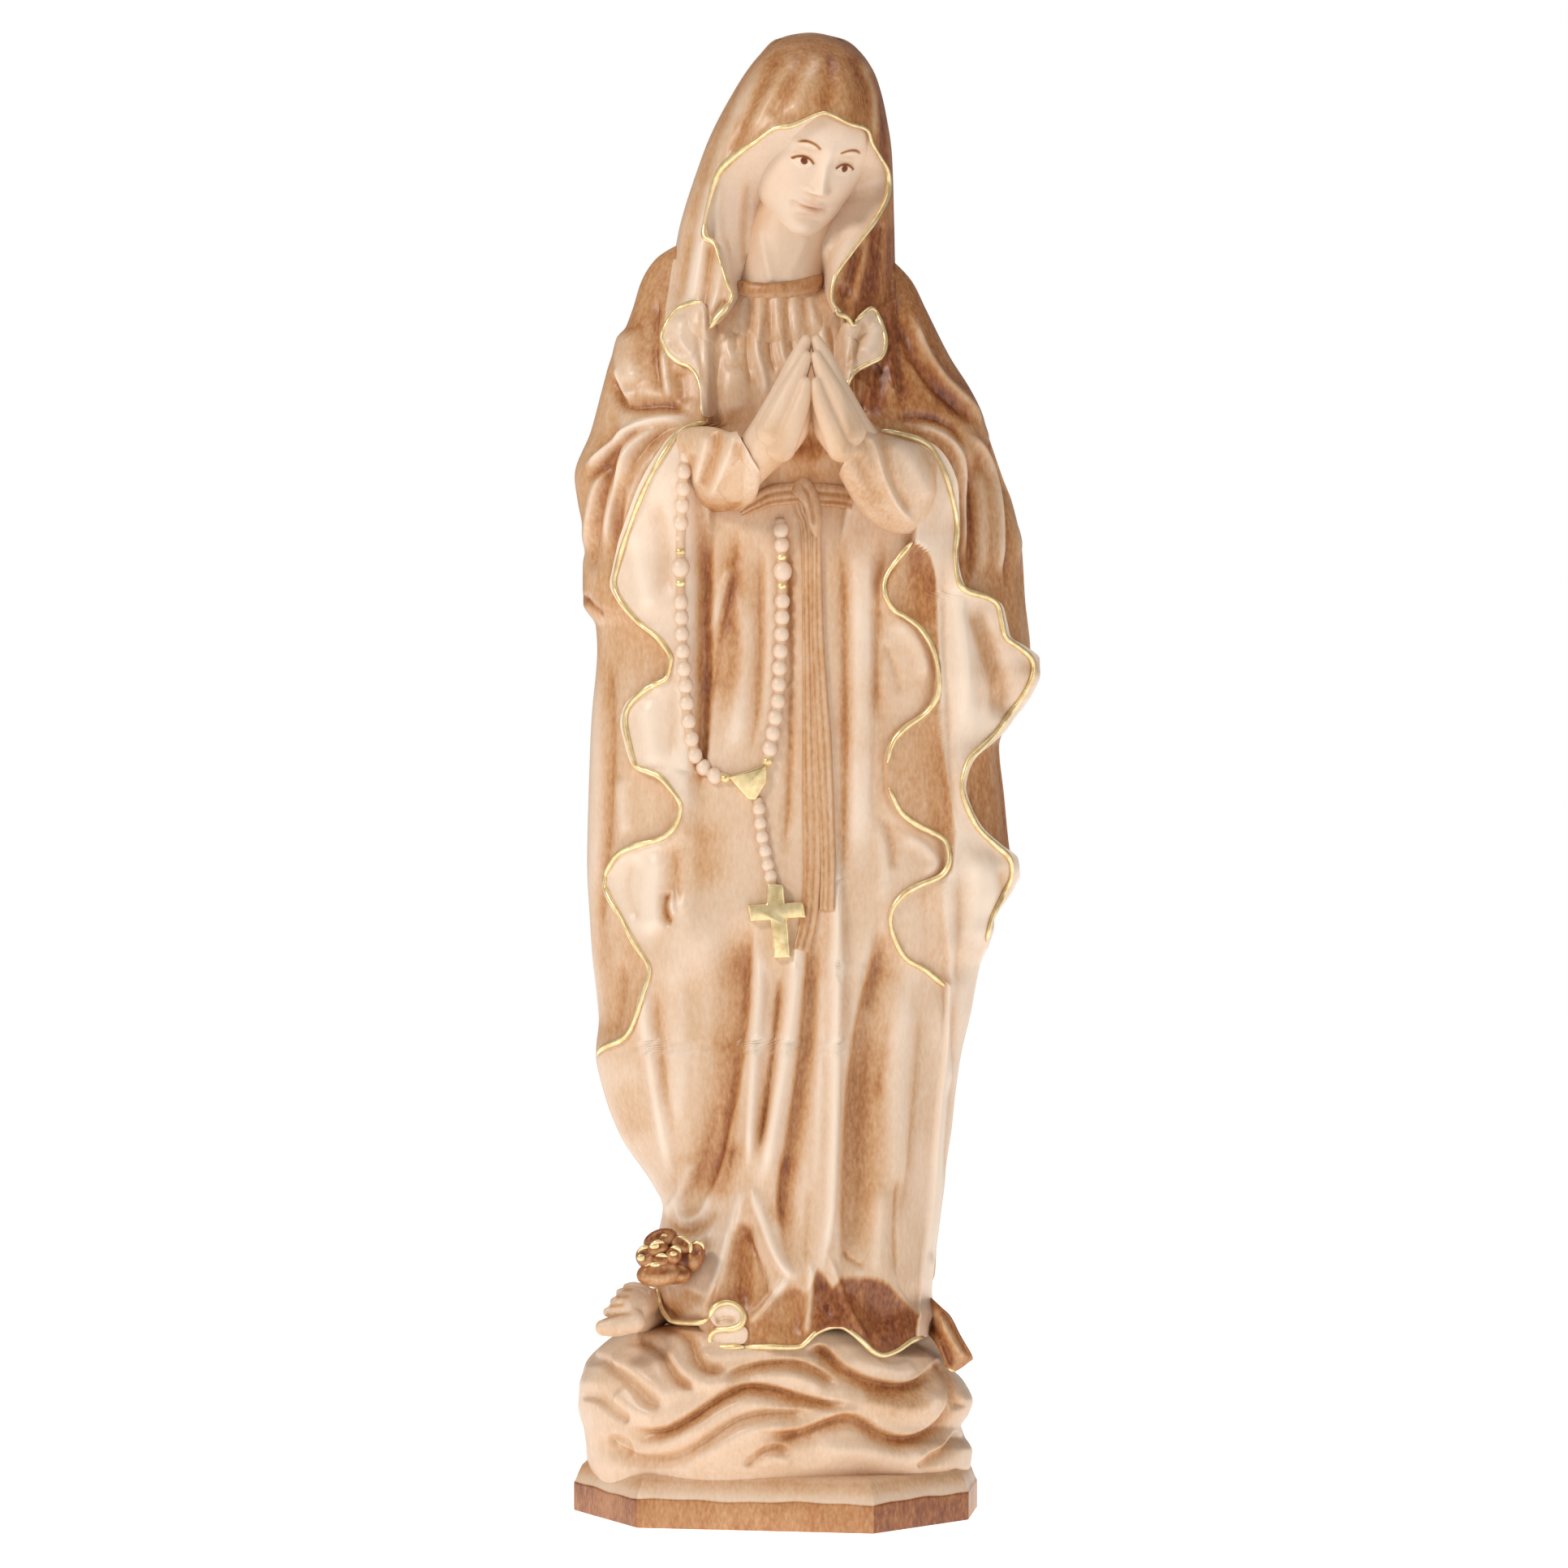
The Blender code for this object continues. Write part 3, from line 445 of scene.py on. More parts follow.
def gilding(name):
    """Gold paint brushed on wood: metallic, a little uneven."""
    made = bpy.data.materials.new(name)
    made.use_nodes = True
    nodes, links = made.node_tree.nodes, made.node_tree.links
    shader = nodes["Principled BSDF"]
    coordinates = nodes.new("ShaderNodeTexCoord")
    texture = nodes.new("ShaderNodeTexNoise")
    texture.inputs["Scale"].default_value = 420
    texture.inputs["Detail"].default_value = 3
    links.new(coordinates.outputs["Object"], texture.inputs["Vector"])
    ramp = nodes.new("ShaderNodeValToRGB")
    elements = ramp.color_ramp.elements
    elements[0].position, elements[0].color = 0.3, linear(228, 196, 136)
    elements[1].position, elements[1].color = 0.65, linear(250, 228, 178)
    links.new(texture.outputs["Fac"], ramp.inputs["Fac"])
    links.new(ramp.outputs["Color"], shader.inputs["Base Color"])
    shader.inputs["Metallic"].default_value = 0.6
    shader.inputs["Roughness"].default_value = 0.34
    bump = nodes.new("ShaderNodeBump")
    bump.inputs["Strength"].default_value = 0.1
    bump.inputs["Distance"].default_value = 0.0004
    links.new(texture.outputs["Fac"], bump.inputs["Height"])
    links.new(bump.outputs["Normal"], shader.inputs["Normal"])
    return made


maple = wood("stained_maple")
skin = wood("maple_skin", grain=0.45, roughness=0.5, tint=linear(196, 118, 96))
gold = gilding("gold_paint")


# ---------------------------------------------------------------- the draped body

LEFT = [
    (50, -30), (60, -37), (70, -37.6), (80, -35.6), (92, -34), (100, -38), (115, -48), (130, -53.5),
    (140, -55.5), (152, -54.5), (175, -55.8), (200, -57.3), (235, -56.2), (262, -54.8), (272, -55.5),
    (279, -59.5), (287, -59.5), (295, -58), (310, -61), (318, -62), (332, -57), (345, -53.5),
    (352, -51.6), (361, -47.4), (370, -44), (378, -41.5), (385, -37), (390, -29), (395, -15),
]
RIGHT = [
    (50, 50.0), (54, 50.4), (58, 49.4), (63, 47.4), (70, 49.2), (80, 49.6), (92, 50.2), (115, 53.4),
    (137, 55.7), (152, 58.9), (167, 62), (174, 66), (182, 67.2), (190, 70.8), (197, 73.2), (205, 72),
    (220, 70.5), (235, 69), (242, 71.5), (250, 75.4), (258, 78.8), (265, 78.6), (280, 77), (295, 76),
    (310, 73), (318, 70), (332, 65), (345, 59.5), (355, 53.5), (370, 46), (378, 42), (385, 35.4),
    (390, 29), (395, 18),
]
DEPTH = [
    (50, -40.8, 34), (60, -38.6, 34.4), (92, -35, 35), (140, -34, 37), (200, -33, 38), (257, -32, 36),
    (290, -30, 35), (316, -29, 34), (335, -28, 33), (352, -26, 31), (362, -23, 29), (370, -19, 26),
    (377, -13, 24), (385, -9, 20), (395, -4, 12),
]
POWER = 2.35
# Gold hem down the left of the front: (height, x).
HEM_LEFT = [
    (50, -29), (100, -38), (115, -48), (130, -53.4), (139.8, -55.3), (142.3, -52.8), (145.3, -46.5),
    (151, -43.3), (158.5, -41), (164.8, -39), (168.5, -39.8), (174.8, -44), (182.3, -47.8),
    (188.5, -51.5), (193.5, -52.8), (198.5, -51), (202.3, -47.8), (204.8, -41.5), (206.5, -35.3),
    (209.8, -31.5), (215, -29.5), (218, -29.8), (222.3, -32.8), (226, -36.5), (228.5, -42.8), (231, -44),
    (236, -45.3), (242.3, -46.5), (247.3, -45.3), (252.3, -40.3), (255.3, -34.5), (257, -33.2),
    (261, -32.3), (263.5, -32.8), (268.5, -36.5), (273.5, -42.8), (279.8, -47.8), (284.8, -49.8),
    (289.8, -49), (298.5, -46.5), (308.5, -42.8), (317.3, -39), (326, -34), (332.3, -29), (334.8, -21.5),
    (340, -22), (352, -24), (369, -24), (395, -9),
]
# Its right-hand counterpart.
HEM_RIGHT = [
    (50, 47), (92, 49.8), (115, 53.0), (137, 55.4), (152, 59), (167, 61.6), (174.8, 64.8), (182.3, 66.8),
    (189.8, 70.4), (194.8, 72.6), (200.3, 72), (204.8, 67.3), (209.8, 62.3), (217.3, 58.5), (222.3, 57.3),
    (226, 57.8), (231, 59.8), (236, 64.8), (239.8, 68.5), (243.5, 71), (248.5, 74.8), (253.5, 77.8),
    (258.5, 79.4), (262.3, 78.4), (265.5, 74.8), (268.5, 70.8), (273.5, 69.6), (278.5, 68.3),
    (280.9, 64.8), (282.8, 58.8), (286, 56.2), (293.5, 55.3), (302.3, 56), (309.8, 54.8), (318.5, 52.3),
    (326, 48.5), (329, 44.8), (331, 38.5), (332.3, 32.3), (337, 27), (345, 24), (352, 24), (369, 23),
    (395, 14),
]
# Edge of the mantle's lining over the robe on the right.
INNER = [
    (50, 43), (70, 44), (92, 45.5), (130, 48.5), (150, 51), (161, 52), (166, 46), (169.8, 39.8),
    (177.3, 36), (183.5, 35.5), (188.5, 38.5), (191.8, 43.5), (194.8, 50.5), (198.5, 53.2), (202.3, 53.3),
    (206.5, 51.5), (210.5, 44), (214.8, 38.5), (222.3, 34.8), (229.8, 34.3), (236, 36), (240.5, 39.8),
    (245, 46), (249, 49.2), (252.3, 50.2), (257.3, 50.2), (264.8, 48.5), (271, 44.8), (274.8, 40),
    (277.3, 36), (282.3, 33.5), (287.3, 34), (292.3, 37.3), (297.8, 42), (304, 42.5), (316, 38),
    (330, 29), (338, 22), (345, 20.5), (352, 21), (369, 20), (395, 9),
]
# Where the mantle's brown outside turns under its lining, right of that edge.
TURN_UNDER = [
    (50, 40), (161, 52.2), (164, 52.9), (178, 52.2), (191, 51.2), (198, 53.8), (207, 54.4), (221, 53),
    (232, 51.5), (246, 50.2), (258, 50.3), (266, 49.9), (275, 49.5), (285, 49), (294, 46.8), (298, 42.3),
    (310, 30), (395, 5),
]
HEM_LINE = [
    (-60, 60), (-37, 65), (-33, 59.5), (-29, 57), (-22, 57), (-19.5, 53), (-16, 50.5), (-10, 50),
    (-2, 49.8), (6.5, 49.8), (9.5, 51.5), (13, 54.5), (17, 56), (20.5, 56), (24, 54), (27, 51.5),
    (30, 48.8), (33.3, 47.5), (37.5, 48.8), (42, 51.6), (46, 53), (60, 54),
]

Z_ROWS = np.arange(50, 395.1, 0.75)
SPLIT = 0.28
BACK_COLUMNS = 46


def body_grid():
    """The draped figure from hem to shoulders as one relief, with columns running along each hem."""
    z = Z_ROWS
    left, right = smooth(LEFT, z), smooth(RIGHT, z)
    front, back = smooth(DEPTH, z, 1), smooth(DEPTH, z, 2)
    middle, half = (left + right) / 2, (right - left) / 2
    hem_left = np.maximum(smooth(HEM_LEFT, z), left + 0.25)
    hem_right = np.minimum(smooth(HEM_RIGHT, z), right - 0.25)
    inner = np.clip(smooth(INNER, z), hem_left + 2, hem_right - 1.2)

    def angle(x):
        return np.arcsin(np.clip((x - middle) / half, -0.9999, 0.9999))

    keys = [
        (np.full_like(z, -math.pi), np.full_like(z, -math.pi / 2), BACK_COLUMNS, 0),
        (np.full_like(z, -math.pi / 2), angle(hem_left - SPLIT), 48, 1),
        (angle(hem_left + SPLIT), angle(inner - SPLIT), 170, 2),
        (angle(inner + SPLIT), angle(hem_right - SPLIT), 64, 3),
        (angle(hem_right + SPLIT), np.full_like(z, math.pi / 2), 46, 4),
        (np.full_like(z, math.pi / 2), np.full_like(z, math.pi), BACK_COLUMNS, 5),
    ]
    psi, region = [], []
    for a, b, count, label in keys:
        share = np.linspace(0, 1, count, endpoint=label > 0)
        if label > 3:
            share = np.linspace(0, 1, count + 1)[label - 4 :]
        psi.append(a[:, None] + (b - a)[:, None] * share)
        region += [label] * len(share)
    return np.concatenate(psi, axis=1), np.array(region), middle, half, front, back


psi, REGION, MIDDLE, HALF, FRONT, BACK = body_grid()
sine = np.sin(psi)
ahead = np.cos(psi) >= 0
DRAWN_X = MIDDLE[:, None] + HALF[:, None] * sine
REACH = np.where(ahead, FRONT[:, None], BACK[:, None])
BASE_Y = REACH * oval(sine, POWER)
lift_rows = np.clip(1 - (Z_ROWS[:, None] - 50) / 34, 0, 1)
DRAWN_Z = Z_ROWS[:, None] + (np.where(ahead, smooth(HEM_LINE, DRAWN_X), 56) - 50) * lift_rows
normal_x = np.sign(sine) * np.abs(sine) ** (POWER - 1) / HALF[:, None]
normal_y = np.sign(REACH) * oval(sine, POWER) ** (POWER - 1) / np.abs(REACH)
size = np.hypot(normal_x, normal_y)
NORMAL_X, NORMAL_Y = normal_x / size, normal_y / size
REGION_GRID = np.broadcast_to(REGION[None, :], psi.shape)
X, Z = DRAWN_X, DRAWN_Z


def mark(points, width, right=None, ends=(0.15, 0.15), form="soft"):
    """A stroke on the front of the body."""
    return stroke(X, Z, points, width, right, ends, form) * ahead


# Relief of the body, and its colour value: stain, with painted shade and painted highlight in places.
relief = np.zeros_like(X)
stain = np.zeros_like(X)
is_band, is_robe, is_lining, is_outer = (REGION_GRID == k for k in (1, 2, 3, 4))
behind = (REGION_GRID == 0) | (REGION_GRID == 5)

# Levels: the lining lies over the brown mantle at both hems, and the robe is sunk between the linings.
lining_left = step(-23, -28, X) * is_robe * step(212, 222, Z) * step(336, 328, Z)
from_hem = np.clip(X - smooth(HEM_LEFT, Z), 0, 60)
relief += 1.9 * is_robe * np.exp(-from_hem / 9) * step(140, 152, Z) * step(338, 326, Z)
relief += 1.2 * lining_left
sunk = is_robe * step(-29, -22, X) * step(158, 225, Z) * step(346, 326, Z)
relief -= 2.6 * sunk
relief += 1.6 * is_lining * step(316, 292, Z) * step(60, 100, Z)
lip = np.exp(-np.clip(X - smooth(INNER, Z), 0, 60) / 2.2)
relief += 0.9 * is_lining * lip * step(306, 296, Z)
window = is_lining * step(0.35, -0.35, X - smooth(TURN_UNDER, Z)) * step(299, 297, Z) * step(160, 162, Z)
inside = np.clip(smooth(TURN_UNDER, Z) - X, 0, 12) * window
relief -= 1.1 * step(0, 0.9, inside) + 0.26 * np.clip(inside, 0, 5.5)
relief += 1.7 * is_lining * step(176, 190, Z) * np.exp(-np.clip(smooth(HEM_RIGHT, Z) - X, 0, 60) / 6)
relief -= 1.3 * is_outer * step(330, 318, Z)
# The forearms push the drapery forward.
relief += 6.0 * mark([(-50, 322), (-36, 322), (-20, 322)], 20, ends=(0.2, 0.02))
relief += 7.0 * mark([(62, 316), (46, 320), (24, 324)], 19, ends=(0.25, 0.02))
relief += 3.2 * mark([(-23, 194), (-24, 176), (-25, 158)], 12, ends=(0.5, 0.5))
# The bulge over the forward foot.
relief += 4.5 * mark([(-28, 104), (-27, 84), (-26, 40)], 12, ends=(0.5, 0))

FOLDS = [
    # robe between the strands and beside the sash
    ([(-21.5, 308), (-21.8, 262), (-23, 236), (-26, 216)], 2, 3.4, -2, 0.3),
    ([(-13, 292), (-16.4, 284), (-21, 268)], 1.6, 1.8, 1, -0.14),
    ([(-12, 306), (-13.6, 286), (-18.6, 262), (-19.4, 246)], 2, 2.6, -1.3, 0.18),
    ([(-10.6, 284), (-9.4, 262), (-14, 232)], 3.2, 3.2, 1.2, -0.16),
    ([(-5, 302), (-5, 274), (-5.6, 248), (-8.6, 230)], 1.8, 2.2, -1.2, 0.18),
    ([(-2.2, 300), (-2, 262), (-4, 236)], 1.8, 1.8, 0.6, -0.06),
    ([(3.4, 306), (4.4, 262), (4, 222), (1.4, 194)], 2, 1.8, -1.3, 0.24),
    ([(20.6, 304), (21.4, 262), (21.4, 214), (20.6, 186)], 1.6, 2.6, -1.6, 0.24),
    ([(26.6, 306), (27.2, 262), (26.5, 222), (25.6, 196)], 4, 4, 1.5, -0.14),
    ([(34, 302), (31.6, 272), (31.4, 240)], 1.8, 2.4, -1.2, 0.16),
    ([(40, 300), (38, 289), (31, 276)], 3, 3, 1.1, -0.08),
    ([(31.6, 214), (34, 196), (32, 186)], 2.2, 2.2, 0.8, -0.08),
    # lower robe: broad troughs between crisp ridges
    ([(-8.4, 186), (-9.2, 165), (-10.6, 148), (-13.6, 128), (-17.6, 110), (-22, 97), (-24, 88)], 2, 11, -3.6,
     0.2),
    ([(-8, 176), (-8.8, 150), (-11.2, 130), (-13.4, 112), (-15, 97)], 1, 1.8, -1, 0.1),
    ([(-17, 128), (-20.5, 117), (-24.4, 105), (-27, 96)], 2, 2.8, -0.7, 0.12),
    ([(-31, 174), (-30, 150), (-30.6, 130), (-33.6, 112)], 4, 4, 1.2, -0.06),
    ([(-38.6, 168), (-39.2, 150), (-36.8, 130), (-33.4, 112), (-31, 99)], 1.5, 2.6, 1.8, -0.12),
    ([(-36.4, 162), (-36.2, 148), (-34, 130), (-30.6, 112)], 1.5, 1.4, -1, 0.1),
    ([(-4.8, 174), (-5.2, 160), (-6.6, 140), (-8, 118), (-8.6, 103)], 1.8, 1.2, 2.9, -0.22),
    ([(1.8, 168), (0.6, 155), (-1.6, 135), (-4.4, 115), (-5.6, 107)], 1.3, 1.3, -2, 0.3),
    ([(7.4, 182), (6.6, 168), (4.4, 148), (1.2, 128), (-2.4, 108), (-5.6, 98)], 2.1, 2.4, 2.9, -0.22),
    ([(11.2, 184), (9.8, 160), (7.6, 138), (4.4, 115), (1.8, 98), (3, 84), (6.4, 72)], 5.4, 1.6, -2.6, 0.2),
    ([(14.2, 178), (13.8, 150), (13.2, 120), (12.4, 96)], 1.6, 1.6, 0.8, -0.1),
    ([(19.2, 210), (19.2, 176), (18.8, 140), (18, 110), (17, 90), (14.6, 76), (12.6, 68)], 1.2, 2.8, 3.3,
     -0.2),
    ([(33.6, 186), (31, 168), (27.2, 152), (24.4, 134), (23, 112), (22.2, 88), (22.8, 66)], 9, 2.6, -3.4,
     0.2),
    ([(37.6, 104), (36.6, 86), (37.4, 70)], 1.5, 1.5, -1.1, 0.12),
    ([(33, 100), (31.6, 84), (31, 72)], 2, 2, 0.8, -0.06),
    ([(10.6, 100), (9.6, 88), (9.2, 74)], 1.4, 1.4, -0.8, 0.14),
    ([(-29.4, 98), (-28, 91), (-24.8, 89), (-21.6, 91.6), (-20.2, 99)], 1.4, 1.3, 1.3, -0.14),
    ([(-32, 90), (-27.6, 86), (-22, 86.4), (-17, 93)], 1.8, 1.8, -0.9, 0.14),
    ([(-10.4, 97), (-13.4, 83), (-17.2, 69), (-19.8, 61)], 0.7, 0.7, -0.9, 0.22),
    ([(34, 179), (31.4, 167), (28, 152)], 2.2, 2.6, -0.8, 0.14),
    ([(35.4, 153), (33.4, 140), (31.6, 124)], 1.1, 1.1, -0.7, 0.12),
    ([(40.4, 164), (38.4, 145), (37.4, 120), (38, 95)], 4, 4, 1.1, -0.08),
    ([(45, 160), (43.6, 135), (41, 108), (38.6, 84)], 1.5, 1.5, -0.9, 0.1),
    ([(51.2, 164), (50, 140), (48.6, 118), (47, 90), (46, 70)], 1.3, 2.6, 1.6, -0.14),
    ([(54.2, 162), (53.4, 140), (52.2, 122), (50.2, 98)], 1.2, 1.1, -1.2, 0.14),
    # the split fold in the middle of the hem, and the brown hollows along it
    ([(-9.4, 100), (-12, 88), (-15, 76), (-18.8, 62)], 1.1, 2.6, 2.2, -0.16),
    ([(-8.2, 100), (-4.6, 90), (-1, 80), (3, 73.4), (8.4, 71)], 2.4, 1.5, 2.6, -0.2),
    ([(5, 72.6), (0.4, 66.6), (-4, 61), (-9, 56.6)], 1.2, 1.7, 1.6, -0.18),
    ([(-10.4, 90), (-9.8, 80), (-10.2, 68), (-12, 60)], 3.6, 4.6, -2, 0.12),
    ([(-10, 90), (-6.8, 80), (-3, 72), (-2.2, 65)], 1.1, 1, -1, 0.14),
    ([(5.4, 69), (4.6, 60), (2.6, 52.6)], 4.4, 6, -1.2, -0.06),
    ([(11.2, 76), (10.6, 66), (9.4, 53)], 1.2, 1.3, 1.6, -0.26),
    ([(13.4, 73), (14.6, 66), (16.8, 57)], 2, 2, -1.2, 0.06),
    ([(16.4, 80), (18, 73), (21.4, 64), (25, 57), (29, 50)], 1.2, 1.3, 1.5, 0.02),
    ([(24, 71), (29, 63), (34, 55)], 5, 6, -1.5, 0.06),
    ([(20.6, 80.4), (23, 77.2), (28, 74.4)], 0.8, 0.9, -0.9, 0.14),
    ([(36, 69), (40, 63.4), (45, 58.4)], 0.9, 1.8, 1, 0),
    ([(46.4, 80), (46.2, 68), (47.4, 60), (51, 56)], 1.2, 1.6, 1.4, -0.1),
    ([(-33, 190.6), (-34, 186.4), (-33, 182), (-30.6, 180.4)], 1.3, 1.4, -1.8, 0.34),
    ([(-31.6, 191), (-32, 186), (-30.6, 182.6)], 1.2, 0.8, 0.8, -0.12),
    ([(-23.6, 84), (-26, 76), (-31, 68)], 2.4, 2.4, 1.4, -0.1),
    ([(-20, 84), (-23, 76), (-28, 68)], 2.2, 2.2, -1.2, 0.16),
    ([(-23, 68), (-26, 63), (-30, 59.6)], 4, 4, -0.8, 0.22),
    ([(-26, 108), (-29, 98), (-32, 90)], 1.6, 2.4, 1.6, -0.1),
    # left lining
    ([(-36, 312), (-33.5, 298), (-33.6, 280)], 2.6, 3.4, -1, 0.1),
    ([(-41.5, 304), (-40.5, 290), (-37.5, 276)], 3.2, 3.2, 1.2, -0.1),
    ([(-31.4, 262), (-31, 245), (-32, 230)], 2.4, 2.6, -0.9, 0.1),
    ([(-38.8, 250), (-38, 240), (-36, 228)], 3.2, 3.2, 1.1, -0.08),
    ([(-36, 203), (-37.6, 190), (-36, 176)], 3.4, 4, 1.3, -0.08),
    ([(-43.6, 201), (-45.4, 192), (-42, 180)], 2.8, 2.8, -1, 0.1),
    ([(-30.5, 206), (-31, 194), (-31, 186)], 2.6, 3.2, -1.1, 0.16),
    # left outer band
    ([(-55.5, 272), (-55, 230), (-56, 176), (-54.6, 146)], 2.2, 3.4, 1.1, -0.16),
    ([(-51.5, 268), (-50.6, 236), (-51.6, 212), (-54, 176)], 2.4, 2.6, -1.3, 0.2),
    ([(-47.8, 226), (-46.6, 212), (-45, 207)], 2.2, 2.6, 0.9, -0.1),
    ([(-47, 170), (-47.5, 156), (-51, 144)], 2.6, 3, -1, 0.12),
    # left sleeve of the mantle: a deep crease above the arm, then folds fanning down and out
    ([(-26, 337.6), (-34, 339.2), (-40, 338.8), (-45.6, 339.2), (-49.6, 343.6), (-51.2, 351)], 1.1, 3, -2.8,
     0.14),
    # Painted highlight on the lit rim under the crease.
    ([(-48.6, 352), (-47.2, 345.4), (-43.6, 342)], 1.4, 1.2, 1.4, -0.24),
    ([(-24, 335.2), (-32, 336.4), (-40, 335), (-47, 330.6), (-54, 325), (-60, 320)], 2.2, 0.9, 2.8, -0.24),
    ([(-59.6, 316.6), (-54, 320.6), (-49, 325.4), (-43, 330.6), (-37, 333.8)], 0.9, 2.6, -2, 0.12),
    ([(-33, 334.4), (-41, 329), (-46.6, 320), (-50, 309), (-52, 295)], 1.3, 2.2, 2.4, -0.2),
    ([(-30, 333.8), (-37, 328.6), (-43, 319.6), (-47.2, 308), (-49.8, 293)], 1.7, 1.3, -1.6, 0.06),
    ([(-27, 333.4), (-33.6, 327.8), (-39.8, 319), (-44.8, 307), (-47.8, 291)], 1.2, 1.2, 1, -0.06),
    ([(-48.4, 326), (-51.6, 318), (-54, 308), (-55.8, 296), (-56.4, 286)], 1.3, 2.4, -1.7, 0.08),
    ([(-52.6, 322), (-56, 312), (-58, 300), (-59, 287)], 1.4, 1.8, 1.7, -0.14),
    ([(-60, 282), (-56, 277.6), (-52.6, 275)], 1.1, 1.3, -1.4, 0.22),
    ([(-35.8, 374), (-37, 362), (-36.4, 351), (-34.4, 342)], 1.2, 3.2, -1.6, 0.14),
    ([(-35, 358), (-34, 349), (-32.4, 341.6)], 1.3, 1, 1.2, -0.2),
    ([(-30, 351), (-28.6, 345), (-27.6, 340)], 3, 3, -1, 0.1),
    ([(-45, 364), (-46, 354), (-43, 346)], 4, 4, 2, -0.12),
    # right shoulder and sleeve
    # The dark pocket here is partly painted shade; the lighter fold after it is a painted sheen.
    ([(32.6, 354), (31.6, 345), (29.8, 336)], 1.5, 2.8, -2.2, 0.16),
    ([(25.6, 349), (25.2, 343), (24.6, 338)], 2, 2, 1.2, -0.1),
    ([(35, 374), (35.4, 356), (35.4, 340)], 1.1, 1.6, 1.2, -0.1),
    ([(36.6, 376), (37, 360), (38.2, 346), (38.8, 336.6)], 1, 1.2, -1.7, 0.16),
    ([(38, 368), (42, 356), (47.6, 347), (55, 339.6), (61, 332)], 0.9, 2.4, -2.8, 0.16),
    ([(40.8, 370), (45, 358), (50.6, 349), (58, 341), (63.4, 332)], 1.7, 1.1, 2.4, -0.18),
    # Painted sheen on the shoulder.
    ([(41, 354), (44.6, 346), (49, 340)], 2, 2.2, 0.8, -0.08),
    ([(35, 335.6), (45, 336), (52.4, 333), (56.2, 326.4)], 1.4, 0.9, -2.4, 0.18),
    ([(37, 333.4), (46, 332.8), (52, 328.6), (56, 320), (58, 308), (58.2, 291)], 1.1, 1.1, 2.2, -0.18),
    ([(55.6, 327), (59.2, 317), (60.8, 302), (60, 285)], 1.2, 1.2, -2.2, 0.14),
    ([(62.4, 322), (64.8, 308), (65, 288)], 2.2, 2.2, 0.8, -0.12),
    ([(55.6, 331), (62, 328), (67, 319.6), (69.6, 306), (69.8, 286)], 1.1, 1.6, 2.4, -0.2),
    ([(60, 332), (66.4, 328), (70.8, 316), (72.2, 300), (72.2, 279)], 1.4, 1, -1.9, 0.1),
    ([(64, 335), (71, 323), (75, 307), (76, 289)], 1.3, 1.6, 1.6, -0.16),
    # right lining
    ([(51.2, 297), (51.4, 275), (52.2, 250), (53.2, 228), (55.4, 206)], 1.4, 2, -1.3, 0.12),
    ([(54.4, 296), (56.4, 275), (58, 255), (57.4, 236)], 3.2, 3.2, 1.8, -0.06),
    ([(59.6, 281), (64.4, 267), (68.4, 254), (67.4, 242)], 3, 4, -2.6, 0.2),
    ([(69, 268), (74, 262), (75.4, 255), (71.6, 247)], 3.4, 3.4, 0.9, 0.06),
    ([(61, 204), (62.6, 192), (59.6, 172)], 4.2, 4.2, 1.8, -0.06),
    ([(68.4, 199), (68.4, 190), (64.5, 178)], 2.2, 2.4, -1.3, 0.14),
    ([(55.4, 202), (56, 184), (55, 160), (52.5, 132)], 2, 2.4, -1.5, 0.12),
    ([(57, 168), (54.4, 150), (51, 126)], 2, 2, 1, -0.06),
    # left edge of the middle lobe, and the lobes of the robe between the windows
    ([(35, 274), (41.6, 270), (46, 262), (46.6, 254)], 2.6, 3.2, 1.4, -0.06),
    ([(33.6, 268), (36.6, 260), (39, 250)], 2.6, 2.4, -1, 0.1),
    ([(39, 208), (46, 204), (49.6, 199), (45, 195)], 2.4, 2.4, 1.2, -0.06),
    ([(33.4, 214), (36.4, 205), (36.8, 196)], 2, 2.2, -1, 0.1),
    # gathers of the dress under the collar
    ([(-5.6, 366), (-5.8, 358), (-3.4, 348), (-2.6, 342)], 1.4, 1.8, 1.3, -0.12),
    ([(-8.6, 364), (-9, 355), (-7.4, 345)], 1.6, 1.6, -0.9, 0.1),
    ([(-2, 364), (-1.8, 356), (0, 349)], 1.4, 1.4, -1, 0.14),
    ([(1.2, 364), (2, 357), (4, 351)], 1.3, 1.3, 0.9, -0.1),
    ([(4.6, 364), (5, 358), (6, 353)], 1.3, 1.3, -0.9, 0.12),
    ([(-14.6, 368), (-14.8, 360), (-12.8, 352)], 1.5, 1.5, 0.6, -0.08),
    ([(-12.2, 364), (-12.2, 356)], 1.5, 1.5, -0.6, 0.08),
    ([(-17, 358), (-18, 348), (-17.6, 339)], 2.2, 2.2, -0.6, 0.08),
    ([(-11, 352), (-13, 344), (-11, 337)], 5, 5, 1.2, -0.05),
    ([(16.6, 366), (18, 355), (17, 344)], 1.8, 2, -1, 0.14),
    ([(14, 366), (15.4, 357), (15.6, 350)], 1.4, 1.4, 0.9, -0.1),
]
NARROW = 3.3
# Each fold darkens its valley and lightens its ridge: partly stain, partly painted shade and painted
# highlight.
for points, left_reach, right_reach, height, tint in FOLDS:
    form = "flat" if max(left_reach, right_reach) >= NARROW else "soft" if height > 0 else "crease"
    touch = mark(points, left_reach, right_reach, ends=(0.2, 0.2), form=form)
    relief += height * touch
    stain += tint * touch
